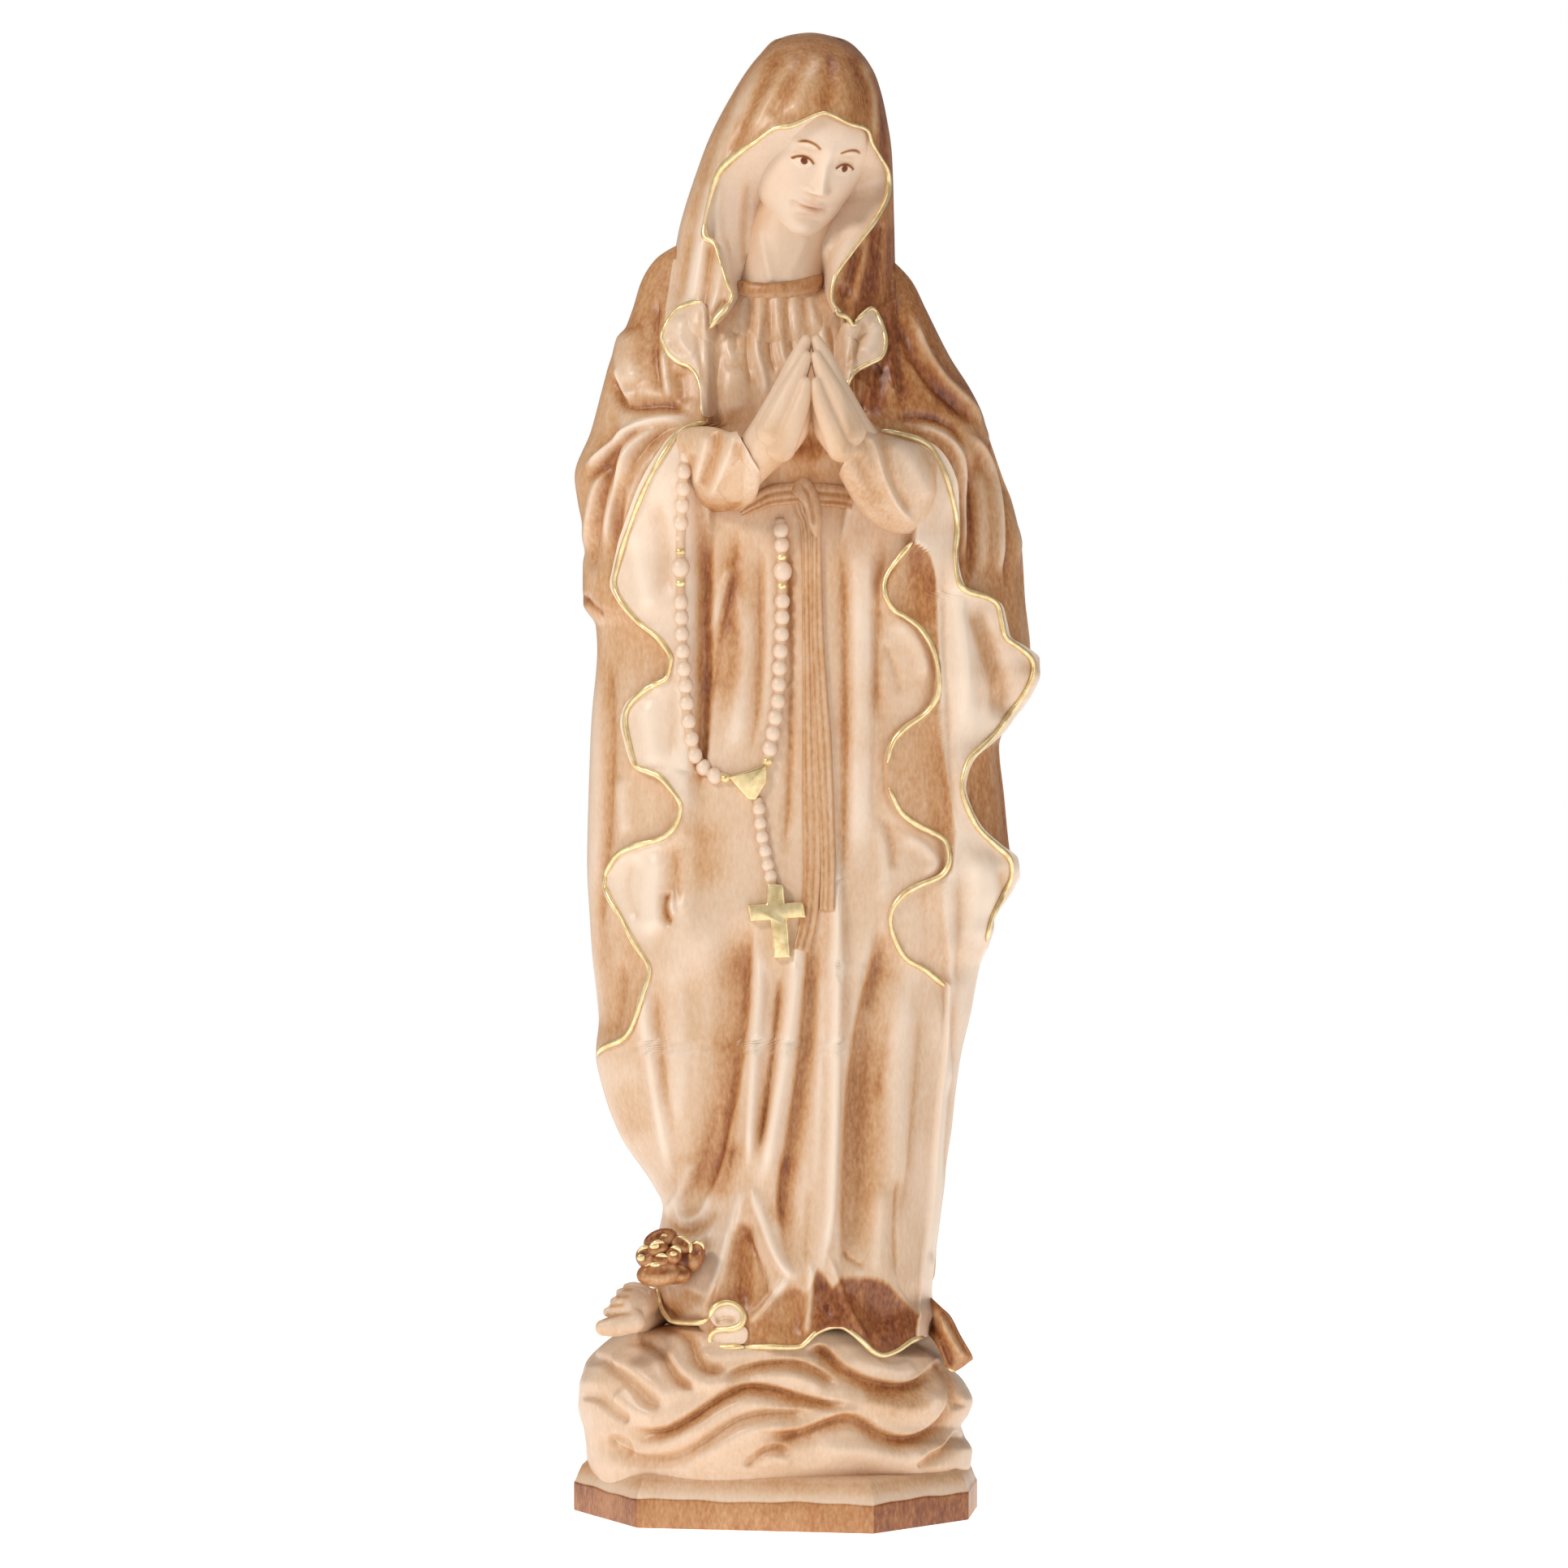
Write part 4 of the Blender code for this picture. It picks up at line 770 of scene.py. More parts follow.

# Broad stained patches; the two under the hands are painted shade.
for points, reach, tint in [
    ([(-16, 302), (-13, 282), (-13, 258), (-15.4, 238)], 6.5, 0.31),
    ([(-26, 216), (-22, 200), (-16, 190)], 8, 0.16),
    ([(-12, 138), (-14.4, 118), (-17, 103), (-20, 92)], 4.6, 0.12),
    ([(-12, 116), (-15.4, 104), (-20, 92)], 4.4, 0.32), ([(30, 150), (29, 115), (30, 84)], 8, 0.18),
    ([(-46, 134), (-43, 112)], 6, 0.12), ([(4, 112), (-0.6, 84)], 4.4, 0.26),
    ([(-30, 168), (-28, 130)], 7, 0.06), ([(64, 274), (70, 258), (70, 248)], 5, 0.14),
    ([(76, 262), (77, 256)], 4, 0.14), ([(-54, 195), (-53, 160)], 3, 0.06),
    ([(-15, 275), (-12.6, 269.6), (-10.6, 268)], 2, 0.16), ([(27.4, 262), (27, 226)], 6, 0.12),
    # The second patch on this line, under the hands, is painted shade.
    ([(58, 262), (64, 255), (62, 243)], 4, 0.12), ([(4, 322), (10, 328), (16, 322)], 5.5, 0.3),
    # The second patch on this line, under the hands, is painted shade.
    ([(-46, 366), (-46, 352)], 6, 0.06), ([(2, 318), (18, 318)], 3, 0.12),
    ([(-26, 94), (-24, 82)], 5, 0.14), ([(45.4, 118), (45, 84)], 4, -0.12),
    ([(-12, 362), (-10, 346)], 8, -0.05), ([(-34, 66), (-30, 61), (-24, 60)], 4, 0.16),
]:
    stain += tint * mark(points, reach, ends=(0.3, 0.3))

# The back falls in plain vertical folds that widen towards the hem.
turned = psi - np.where(psi > 0, math.pi / 2, -math.pi / 2)
spread = step(0, 0.35, np.abs(turned)) * behind
behind_angle = np.where(psi > 0, psi - math.pi, psi + math.pi)
swing = np.sin(8 * behind_angle + 1.2 * np.sin(Z / 46)) + 0.4 * np.sin(15 * behind_angle + Z / 60)
relief += spread * swing * (0.5 + 1.5 * step(340, 120, Z)) * step(48, 66, Z)
stain += spread * (-0.07 * swing)
# Colour by region, darker in the valleys and lighter on the ridges: partly stain kept in the valleys and
# wiped off the ridges, partly painted shade and painted highlight.
HEM_TOP = [(-21, 60), (-16, 72), (-11, 88), (-6, 80), (-2, 68), (1, 66), (5, 69), (9.6, 67), (11.4, 71),
           (12.8, 74), (15, 72), (17.5, 68.6), (20, 71.4), (26, 71.6), (33, 70.6), (36, 68), (40, 63.4),
           (45, 58.4), (49, 55), (52, 50)]
hem_top = smooth(HEM_TOP, X)
lower_hem = step(1.0, -1.8 + 0.10 * np.clip(-X, 0, 20), Z - hem_top) * step(-21, -17, X)
lower_hem *= 0.95 + 0.74 * step(8, 14, X)
lower_hem *= 1 - 0.28 * step(64, 74, Z) * step(0, -6, X)
robe_tone = smooth([(50, 0.34), (64, 0.30), (95, 0.25), (130, 0.27), (200, 0.26), (300, 0.32),
                    (316, 0.42), (345, 0.41), (360, 0.42), (395, 0.5)], Z) + 0.34 * lower_hem
robe_tone = robe_tone * (1 - lining_left) + 0.10 * lining_left
robe_tone -= 0.20 * is_robe * step(-33, -39, X) * step(170, 180, Z) * step(214, 206, Z)
band_tone = smooth([(50, 0.4), (150, 0.44), (210, 0.31), (245, 0.33), (262, 0.44), (285, 0.50),
                    (300, 0.48), (325, 0.45), (350, 0.45), (368, 0.54), (395, 0.6)], Z)
lining_tone = np.where(Z < 300, 0.12, 0.16) + 0.45 * step(326, 336, Z)
window_tone = 0.60 - 0.010 * inside
window_tone += 0.06 * step(270, 276, Z) - 0.06 * step(252, 246, Z) - 0.19 * step(197, 192, Z)
# Painted shade in the window along the proud edge of the lining.
window_tone += 0.14 * np.exp(-np.clip(X - smooth(INNER, Z), 0, 60) / 2.2)
lining_tone += (window_tone - lining_tone) * window
outer_tone = smooth([(50, 0.3), (174, 0.3), (179, 0.60), (205, 0.68), (236, 0.62), (242, 0.60),
                     (262, 0.60), (285, 0.62), (310, 0.56), (330, 0.62), (345, 0.74), (365, 0.72),
                     (395, 0.75)], Z)
fronts = [is_band, is_robe, is_lining, is_outer]
stain += np.select(fronts, [band_tone, robe_tone, lining_tone, outer_tone], 0)
side = np.where(REGION_GRID == 0, band_tone, outer_tone)
far = step(0, 0.6, np.abs(turned))
stain = np.where(behind, stain + side * (1 - far) + far * 0.62, stain)
# The valleys darkened and the ridges lightened: partly stain, partly painted shade and painted highlight.
hollow = relief - blur(relief, 5, 4)
stain -= np.clip(hollow * 0.11, -0.20, 0.20)
stain = np.clip(stain, -0.02, 0.86)
relief = blur(relief, 0.6, 0.4)

# Inside the hood the front stays behind the neck.
sunk_neck = 13 * step(374, 383, Z) * step(-27, -17, X) * step(30, 20, X) * ahead
BODY = np.stack([X + NORMAL_X * relief, BASE_Y + NORMAL_Y * relief + sunk_neck, Z], axis=2)
FRONT_COLUMNS = slice(BACK_COLUMNS, int(np.sum(REGION < 5)) + 1)
BODY_X = np.maximum.accumulate(BODY[:, FRONT_COLUMNS, 0], axis=1)
BODY_Y = BODY[:, FRONT_COLUMNS, 1]


def on_body(x, z):
    """Depth of the draped body's front at places in the elevation."""
    x, z = np.broadcast_arrays(np.asarray(x, float), np.asarray(z, float))
    flat_x, flat_z = x.ravel(), z.ravel()
    place = np.clip((flat_z - Z_ROWS[0]) / (Z_ROWS[1] - Z_ROWS[0]), 0, len(Z_ROWS) - 1.001)
    low = place.astype(int)
    share = place - low
    out = np.zeros(len(flat_x))
    for row in np.unique(low):
        pick = low == row
        below = np.interp(flat_x[pick], BODY_X[row], BODY_Y[row])
        above = np.interp(flat_x[pick], BODY_X[row + 1], BODY_Y[row + 1])
        out[pick] = below + (above - below) * share[pick]
    return out.reshape(x.shape)


def on_back(x, z):
    """Depth of the draped body's back at places in the elevation."""
    x, z = np.broadcast_arrays(np.asarray(x, float), np.asarray(z, float))
    rows = np.clip(((z - Z_ROWS[0]) / (Z_ROWS[1] - Z_ROWS[0])).astype(int), 0, len(Z_ROWS) - 1)
    round_back = np.concatenate([BODY[:, REGION == 0], BODY[:, REGION == 5]], axis=1)
    out = np.zeros(x.shape)
    for row in np.unique(rows):
        order = np.argsort(round_back[row, :, 0])
        out[rows == row] = np.interp(x[rows == row], round_back[row, order, 0], round_back[row, order, 1])
    return out


def body_piece(name, label, node):
    """One region of the draped body, with its hem turned in and up."""
    columns = np.nonzero(REGION == label)[0]
    if label < 5:
        columns = np.append(columns, columns[-1] + 1)
    points, tones = BODY[:, columns], stain[:, columns]
    middle = np.array([MIDDLE[0], 0, 0])
    inner = [middle + (points[0] - middle) * (s, s, 1) + (0, 0, up) for s, up in [(0.93, 7.0), (0.955, 0.0)]]
    points = np.concatenate([inner, points])
    tones = np.concatenate([tones[:1] + 0.3, tones[:1] + 0.1, tones])
    piece(name, points, grid_faces(*points.shape[:2]), maple, node=node, stain=tones)


body_piece("mantle_back_left", 0, "mantle")
body_piece("mantle_front_left", 1, "mantle")
body_piece("robe_front", 2, "robe")
body_piece("mantle_lining_right", 3, "mantle")
body_piece("mantle_front_right", 4, "mantle")
body_piece("mantle_back_right", 5, "mantle")


def gold_line(name, path, depth, radius=0.76):
    """A painted gold edge following a hem in the elevation."""
    path = np.array(path, float)
    length = np.linalg.norm(np.diff(path, axis=0), axis=1).sum()
    line = along(path, max(12, int(length / 0.9)))
    y = relaxed(depth(line[:, 0], line[:, 1]), 2)
    heading = np.gradient(line, axis=0)
    level = np.abs(heading[:, 0]) / np.maximum(np.linalg.norm(heading, axis=1), 1e-6)
    order = np.arange(len(line))
    wave = 1 + 0.14 * np.sin(order * 0.33 + len(line)) + 0.35 * blur(level[:, None] ** 2, 3, 0.4)[:, 0]
    ends = np.clip(np.minimum(order, order[::-1]) / 4 + 0.35, 0, 1)
    points = np.stack([line[:, 0], y - 0.1, line[:, 1]], axis=1)
    return tube(name, points, radius * wave * ends, gold, sides=8, slot="gilding")


def ridge_of(*offsets):
    """Nearest of the surface at a few offsets, so a line sits on the upper side of a stepped hem."""

    def depth(x, z):
        return np.min([on_body(x + o, z) for o in offsets], axis=0)
    return depth


for name, edge, low, high, offsets in [
    ("gold_mantle_left", HEM_LEFT, 139, 335, (-0.7, 0, 0.7)),
    ("gold_mantle_right", HEM_RIGHT, 174, 333, (-0.7, 0, 0.7)),
    ("gold_lining_upper", INNER, 226, 298.5, (-0.4, 0.5, 1.2)),
    ("gold_lining_lower", INNER, 160, 227, (-0.4, 0.5, 1.2)),
]:
    gold_line(name, [(x, z) for z, x in edge if low < z < high], ridge_of(*offsets))

# ---------------------------------------------------------------- the veil

# Outline and depth of the hood: (height, left, right, front, back).
VEIL = [
    (325, -36, 38, -33, 35), (338, -36, 38, -33, 35.5), (355, -36, 38, -31, 34.5),
    (366, -34.8, 37.4, -29, 33.5), (376, -33, 37, -27, 32), (387, -31.2, 36.7, -27, 31),
    (392.5, -30.2, 36.5, -27.5, 30.5), (403, -27.4, 36.2, -30, 30), (412, -24.2, 36, -32, 29.8),
    (423, -20.2, 35.2, -33.5, 29.5), (434, -14.5, 33, -32, 28), (445, -7.5, 29.3, -25.5, 22),
    (450, -3.8, 25.5, -18.5, 16), (453, -0.5, 21.5, -11.5, 10), (454.8, 7, 14.5, -3, 3),
]
# Ribs of its front, from the opening (x, z) to the outline (x, z).
RIBS = [
    (-19.8, 364.8, -34.2, 366), (-15.8, 369.8, -33.8, 371), (-13.5, 373.5, -33, 376),
    (-15.3, 378.5, -32.3, 381), (-17.3, 384.8, -31.2, 387), (-19, 389.8, -30.2, 392.5),
    (-22, 392.5, -29.3, 396.5), (-21, 401, -27.4, 403), (-17.8, 411, -24.2, 412.5),
    (-12.8, 416.5, -20.2, 423), (-6.5, 421, -14.5, 434), (-0.3, 425.3, -7.5, 445), (4.8, 426, 0, 452.3),
    (12.3, 429.3, 8, 454.6), (16, 429.8, 15, 454.2), (22.3, 426.8, 23.5, 451), (28, 424.8, 29.5, 444),
    (29.8, 420.3, 32.5, 436), (32.3, 416, 34.6, 426), (34.3, 412.3, 35.6, 419), (34.8, 407.3, 36.1, 410),
    (33.5, 402.3, 36.3, 402), (29.8, 396, 36.5, 394.5), (23.5, 387.3, 36.7, 385),
    (19.8, 382.3, 36.9, 377), (17.8, 378.5, 37, 370), (17.3, 372.3, 37.2, 362), (19.8, 368.5, 37.2, 353),
    (23, 362, 36.9, 349), (30, 355, 36.7, 345),
]


VEIL_POWER = 2.2
RIB_COUNT, RIB_POINTS = 300, 60


def on_veil(x, z, closing=0):
    """Depth of the veil's front; closing from 0 to 1 brings it to the seam with the back."""
    left, right, front = smooth(VEIL, z, 1), smooth(VEIL, z, 2), smooth(VEIL, z, 3)
    u = np.clip(np.abs((x - (left + right) / 2) / ((right - left) / 2)), 0, 1)
    u = u + (1 - u) * closing
    return np.minimum(front * oval(u, VEIL_POWER), np.where(z < 385, on_body(x, z) - 1.2, 0))


ribs = along(RIBS, RIB_COUNT)
across = 1 - (1 - np.linspace(0, 1, RIB_POINTS)) ** 1.8
veil_x = ribs[:, None, 0] + (ribs[:, None, 2] - ribs[:, None, 0]) * across
veil_z = ribs[:, None, 1] + (ribs[:, None, 3] - ribs[:, None, 1]) * across
VEIL_FOLDS = [
    ([(-2, 449), (-11, 432), (-19.6, 408), (-24.6, 384), (-28.6, 360)], 2.4, 2.6, 1.3, -0.2),
    ([(-6, 447), (-15, 430), (-22.6, 410), (-27.2, 388), (-31.4, 360)], 1.6, 2, -1.3, 0.12),
    ([(2, 449), (-6, 434), (-15.4, 414)], 2.2, 2, -1.2, 0.12),
    ([(6, 449), (-1.6, 436), (-9, 424)], 2.2, 2.2, 1.1, -0.1),
    ([(9, 448), (3.6, 438), (-1.6, 428)], 2, 2.4, -1, 0.1),
    ([(13, 449), (9.4, 440), (4.6, 429)], 3, 2.4, 1.1, -0.18),
    ([(17, 449), (16.4, 440), (15, 431)], 2.6, 2.4, -0.8, 0.12),
    ([(19.6, 449), (21.6, 440), (21.4, 430)], 2.6, 3, 0.8, -0.04),
    ([(22, 449), (26, 440), (27.4, 428)], 2, 2, -0.8, 0.12),
    ([(26, 447), (30, 436), (30.6, 422)], 1.4, 1.4, 1.1, -0.26),
    ([(28.6, 444), (32.6, 434), (33.2, 417), (35, 410)], 1.6, 1.4, -1.3, 0.2),
    ([(-19.2, 391), (-20.6, 380), (-22.4, 366)], 1.2, 1.6, -1.7, 0.2),
    ([(-16.8, 386), (-18, 376), (-20.6, 368)], 1.4, 1.6, 1.1, -0.14),
    ([(-22.6, 392), (-24.6, 380), (-26, 372)], 1.6, 1.6, 1, -0.1),
    ([(-25.2, 394), (-27, 384), (-28.6, 372)], 1.6, 1.6, -0.9, 0.14),
    ([(-15.4, 373), (-17, 370), (-19.6, 366)], 1.4, 1.4, -0.9, 0.35),
    ([(31.4, 398), (30.2, 386), (27.6, 371)], 1.4, 2.2, -2, 0.3),
    ([(28.4, 394), (26.8, 382), (24.4, 371)], 1.2, 1.6, 1.3, -0.26),
    ([(25.6, 390), (23, 381), (21, 371)], 1.6, 2.4, -1.2, 0.18),
    ([(33.6, 400), (33, 384), (31.8, 368)], 1.6, 1.2, 1.3, -0.12),
    ([(35.6, 398), (35.4, 380), (34.6, 350)], 1.2, 1.2, -1, 0.14),
    ([(20.6, 378), (20, 372), (22, 368)], 1.8, 1.8, -0.9, 0.2),
]
# Veil folds: darker valleys and lighter ridges, partly stain and partly painted shade and painted highlight.
veil_relief, veil_stain = carved(veil_x, veil_z, VEIL_FOLDS)
veil_relief += 0.5 * np.exp(-(((across - 0.03) / 0.05) ** 2))
veil_stain += np.clip(0.50 + 0.006 * veil_x + 0.10 * step(425, 448, veil_z), 0.34, 0.78)
veil_stain -= 0.10 * step(-6, -26, veil_x) * step(405, 385, veil_z)
veil_stain += 0.16 * step(19, 25, veil_x) * step(400, 388, veil_z)
veil_stain += 0.12 * stroke(veil_x, veil_z, [(-10, 430), (-17, 418), (-21, 406)], 4.5)
veil_stain = np.clip(veil_stain, 0, 0.86)
veil_y = on_veil(veil_x, veil_z, closing=step(0.9, 1, across)) - veil_relief * np.sqrt(1 - across)
hem_in = np.stack([veil_x[:, 0], veil_y[:, 0] + 2.2, veil_z[:, 0]], axis=1)
front_veil = np.concatenate([hem_in[:, None], np.stack([veil_x, veil_y, veil_z], axis=2)], axis=1)
outward = ribs[:, 2:] - ribs[:, :2]
outward /= np.linalg.norm(outward, axis=1, keepdims=True)
dive = front_veil[:, -1] + np.stack([-outward[:, 0], np.full(RIB_COUNT, 3.0), -outward[:, 1]], axis=1)
front_veil = np.concatenate([front_veil, dive[:, None]], axis=1)
tones = np.concatenate([np.full((RIB_COUNT, 1), 0.3), veil_stain, veil_stain[:, -1:]], axis=1)
piece("veil_front", front_veil, grid_faces(RIB_COUNT, RIB_POINTS + 2, flip=True), maple, node="veil",
      stain=tones)

# The back hangs in pleats over the shoulders; its rim is tucked under the front.
rows = np.concatenate([np.arange(322, 446, 1.2), 446 + 8.8 * np.sin(np.linspace(0, 1, 16) * math.pi / 2)])
VEIL_COLUMNS = 100
angles = np.linspace(-math.pi / 2, math.pi / 2, VEIL_COLUMNS)
rim = np.zeros((1, VEIL_COLUMNS))
rim[0, [0, -1]] = 1
left, right, deep = smooth(VEIL, rows, 1), smooth(VEIL, rows, 2), smooth(VEIL, rows, 4)
sine = np.sin(angles)[None, :]
back_x = (left + right)[:, None] / 2 + ((right - left)[:, None] / 2 - 0.1) * sine
back_y = deep[:, None] * oval(sine, VEIL_POWER)
back_z = rows[:, None] - 0.4 * step(425, 446, rows[:, None]) + 0 * back_x
pleats = np.sin(back_x / 3.4 + 0.6 * np.sin(back_z / 30)) * 0.8
pleats *= step(448, 400, back_z) * np.abs(np.cos(angles))
back_z = back_z + 3.0 * np.sin(back_x / 6.5 + 0.6) * step(352, 326, back_z)
over = 1.5 - 3.0 * np.abs(sine) ** 12
shoulders = on_back(back_x, np.minimum(back_z, 392)) + over
back_y = np.maximum(back_y + pleats, shoulders * step(394, 382, back_z))
tuck = 0.2 * smooth(VEIL, rows, 3)[:, None] * step(374, 384, back_z) - 3 * step(384, 374, back_z)
back_y = back_y * (1 - rim * step(374, 384, back_z)) + tuck * rim
inward = np.minimum(1.3, 0.2 * (right - left))[:, None]
back_x = back_x - inward * np.sign(sine) * rim * step(374, 384, back_z)
back_points = np.stack([back_x, back_y, back_z], axis=2)
under = back_points[:1] - (0, 2.2, -0.6)
crown = (back_points[-1:, :1] + back_points[-1:, -1:]) / 2 - (0, 2, 0.1) + 0 * back_points[-1:]
tones = 0.56 - 0.10 * pleats + 0.003 * back_x
back_veil = np.concatenate([under, back_points, crown])
tones = np.concatenate([tones[:1] + 0.2, tones, tones[-1:]])
piece("veil_back", back_veil, grid_faces(len(rows) + 2, VEIL_COLUMNS, flip=True), maple, node="veil",
      stain=tones)
tube("gold_veil_back", back_points[0, 1:-1] + (0, 0.2, 0), 0.75, gold, sides=8, slot="gilding")

# The gilded edge of the opening, thicker where the brush was full.
OPENING_POINTS = 220
opening = along([r[:2] for r in RIBS[:28]], OPENING_POINTS)
opening_y = relaxed(on_veil(opening[:, 0], opening[:, 1]), 3)
line = np.stack([opening[:, 0], opening_y - 0.75, opening[:, 1]], axis=1)
share = np.linspace(0, 1, OPENING_POINTS)
FULL_BRUSH = [
    (0.03, 0.02, 0.5), (0.09, 0.02, 0.25), (0.19, 0.016, 0.6), (0.33, 0.05, 0.75), (0.46, 0.03, 0.3),
    (0.74, 0.04, 0.4), (0.81, 0.03, 0.3),
]
thick = 0.58 + sum(extra * np.exp(-(((share - at) / reach) ** 2)) for at, reach, extra in FULL_BRUSH)
tube("gold_veil_opening", line, thick, gold, sides=10, slot="gilding")

# The lining inside the hood, behind the face.
share = np.linspace(0, 1, 26)[None, :]
shrink = 1 - (0.36 + 0.26 * step(376, 390, opening[:, None, 1])) * share
centre = np.array([4.5, 402.0])
soft = relaxed(np.stack([opening[:, 0], opening_y, opening[:, 1]], axis=1), 160)
crisp = (1 - share) ** 2
rim_x, rim_y, rim_z = (crisp * exact[:, None] + (1 - crisp) * soft[:, k : k + 1]
                       for k, exact in enumerate((opening[:, 0], opening_y, opening[:, 1])))
lining_x = centre[0] + (rim_x - centre[0]) * shrink
lining_z = np.where(rim_z > 402, centre[1] + (rim_z - centre[1]) * shrink, rim_z)
lining_y = rim_y + 1.2 + (8.5 + 3 * step(414, 422, rim_z) + 6 * step(392, 378, rim_z)) * share**1.1
lining_relief, lining_stain = carved(lining_x, lining_z, [
    ([(-16.6, 410), (-18.2, 398), (-15.4, 386), (-12.6, 376)], 1.6, 1, -0.04),
    ([(-8.6, 410), (-9.6, 396), (-9.8, 382)], 1.5, -0.9, 0.2),
    ([(-14.8, 392), (-14, 384), (-12.6, 376)], 1, -0.7, 0.1),
    ([(27, 398), (21, 388), (16.4, 376)], 2, 1, -0.06),
    ([(20, 394), (15.6, 384), (13.6, 376)], 1.6, -1, 0.14),
])
points = np.stack([lining_x, lining_y - lining_relief, lining_z], axis=2)
# Painted shade: the lining darkens a little deeper into the hood.
lining_stain += 0.10 + 0.04 * share
piece("veil_lining", points, grid_faces(OPENING_POINTS, 26), maple, node="veil", stain=lining_stain)


def under_flap(x, z):
    """Depth of what lies under a turned-out end of the veil."""
    return np.minimum(on_body(x, z), on_veil(x, z) + 9 * step(366, 350, z)) + 0.2


left_flap = [
    (-22.6, 371.8), (-27, 371.2), (-31.4, 368.6), (-34.6, 363.2), (-35.1, 360), (-33.2, 356),
    (-30, 353.2), (-26.8, 352), (-24.4, 349), (-23.2, 345), (-22.9, 337.4), (-19, 337), (-16.6, 344),
    (-17, 354), (-18.4, 364),
]
right_flap = [
    (24.4, 365.6), (26.4, 367.6), (29.6, 369.9), (32, 366.4), (33.8, 360), (32.6, 355), (28.6, 352.7),
    (24.6, 350.6), (22.4, 347.4), (21, 341.6), (17.4, 342), (16.6, 350), (18.4, 360), (21, 365.4),
]


def flap(name, outline, centre, folds, node, inner, outer):
    """A turned-out end of the veil: proud of the cloth at its gilded side, level with it at the other."""
    rim = along(outline, 170, closed=True)
    share = np.sin(np.linspace(0, 1, 30) * math.pi / 2)
    xz = np.array(centre) + share[:, None, None] * (rim - centre)
    x, z = xz[..., 0], xz[..., 1]
    r = share[:, None] + 0 * x
    proud = step(inner, outer, x)
    ridge, tint = carved(x, z, folds)
    lift = (1.5 + 1.7 * np.sqrt(np.clip(1 - r**3, 0, 1)) + ridge) * proud + 0.12
    y = under_flap(x, z) * proud + (on_body(x, z) + 0.1) * (1 - proud) - lift
    skirt = np.stack([x[-1], y[-1] + np.where(proud[-1] > 0.5, 3.0, 0.5), z[-1]], axis=1)
    points = np.concatenate([np.stack([x, y, z], axis=2).reshape(-1, 3), skirt])
    tone = 0.42 + (tint - 0.22) * proud
    tone = np.append(tone.ravel(), tone[-1] + 0.2)
    piece(name, points, grid_faces(31, 170, wrap=True), maple, node=node, stain=tone)


flap("flap_left", left_flap, (-24, 358), [
    ([(-23.4, 371), (-23.8, 360), (-21.6, 345)], 1.6, -0.7, 0.14),
    ([(-29, 368), (-29.6, 361), (-26, 354)], 2.2, 0.9, -0.08),
    ([(-33, 361), (-30, 357), (-26, 355)], 1.6, -0.6, 0.08),
], "veil_fold_right_side", -17.6, -22.6)
flap("flap_right", right_flap, (25, 359), [
    ([(27.6, 367), (25.6, 360), (21.4, 350)], 1.6, -0.9, 0.2),
    ([(31, 366), (30.6, 361), (27.4, 355.6)], 2, 1, -0.08),
], "veil_fold_left_side", 17.8, 23.4)


def over_flap(x, z):
    """Depth of the gilding on it."""
    return under_flap(x, z) - 1.9


gold_line("gold_flap_left", left_flap[:11], over_flap, radius=0.6)
gold_line("gold_flap_right", right_flap[:10], over_flap, radius=0.66)
gold_line("gold_veil_curl", [(-14.2, 371.6), (-15.8, 369.4), (-18.2, 366.8), (-20.4, 363.4)],
          lambda x, z: over_flap(x, z) - 0.6, radius=0.9)
gold_line("gold_veil_curl_right", [(18.4, 370), (19.2, 368), (22, 367), (23.8, 364.4), (25.6, 366.2)],
          lambda x, z: over_flap(x, z) - 0.5, radius=0.6)

# ---------------------------------------------------------------- head and neck

# A plain regular head in its own frame: eyes at z 0, chin at z -27.5, crown at z 27.5, facing -y.
SKULL = [
    (-27.5, 2.5, -17.0, -10, -14), (-26.9, 5.2, -18.6, -5, -12), (-25, 8.2, -19.6, 1, -9),
    (-22, 11.2, -19.8, 7, -6), (-18, 14.2, -19.9, 12, -3.5), (-12, 16.8, -20.2, 17, -1),
    (-6, 18.2, -20.5, 21, 0), (0, 19.0, -20.6, 23.5, 0), (8, 19.4, -21.2, 24, 0),
    (15, 18.4, -19.8, 22.5, 0), (21, 15.0, -16.2, 18, 0), (25, 10.0, -11.4, 12, 0), (27, 4.5, -5.6, 6, 0),
    (27.5, 0.4, -1, 1, 0),
]
NOSE = [(-13, 0), (-11.6, 0.35), (-10.8, 1.6), (-9.9, 3.6), (-8.8, 4.7), (-7.4, 4.6), (-4, 3.2), (0, 1.9),
        (4, 1.0), (8, 0.2), (9, 0)]
heights = np.concatenate([np.linspace(-27.5, -24, 16), np.linspace(-23.8, 12, 150),
                          np.linspace(12.6, 27.5, 24)])
turns = np.concatenate([np.linspace(-90, 90, 170, endpoint=False), np.linspace(90, 270, 40, endpoint=False)])
turns = np.radians(turns)
hz = heights[:, None] + 0 * turns[None, :]
wide, near, rear, line_y = (smooth(SKULL, heights, k)[:, None] for k in (1, 2, 3, 4))
hx = wide * np.sin(turns)
cosine = np.cos(turns)[None, :]
share = oval(np.sin(turns)[None, :], 2.15)
hy = np.where(cosine >= 0, line_y + (near - line_y) * share, line_y + (rear - line_y) * share)
facing = (cosine > 0.05) * step(0, 0.4, share)


def bump(cx, cz, sx, sz, height):
    """A soft swelling of the head about (cx, cz)."""
    return height * np.exp(-(((hx - cx) / sx) ** 2) - ((hz - cz) / sz) ** 2)


nose_width = smooth([(-13, 2.6), (-9.5, 2.7), (-7, 2.0), (-3, 1.6), (3, 1.7), (9, 2.4)], hz)
rise = smooth(NOSE, hz) * np.exp(-((hx / nose_width) ** 2) * 0.9)
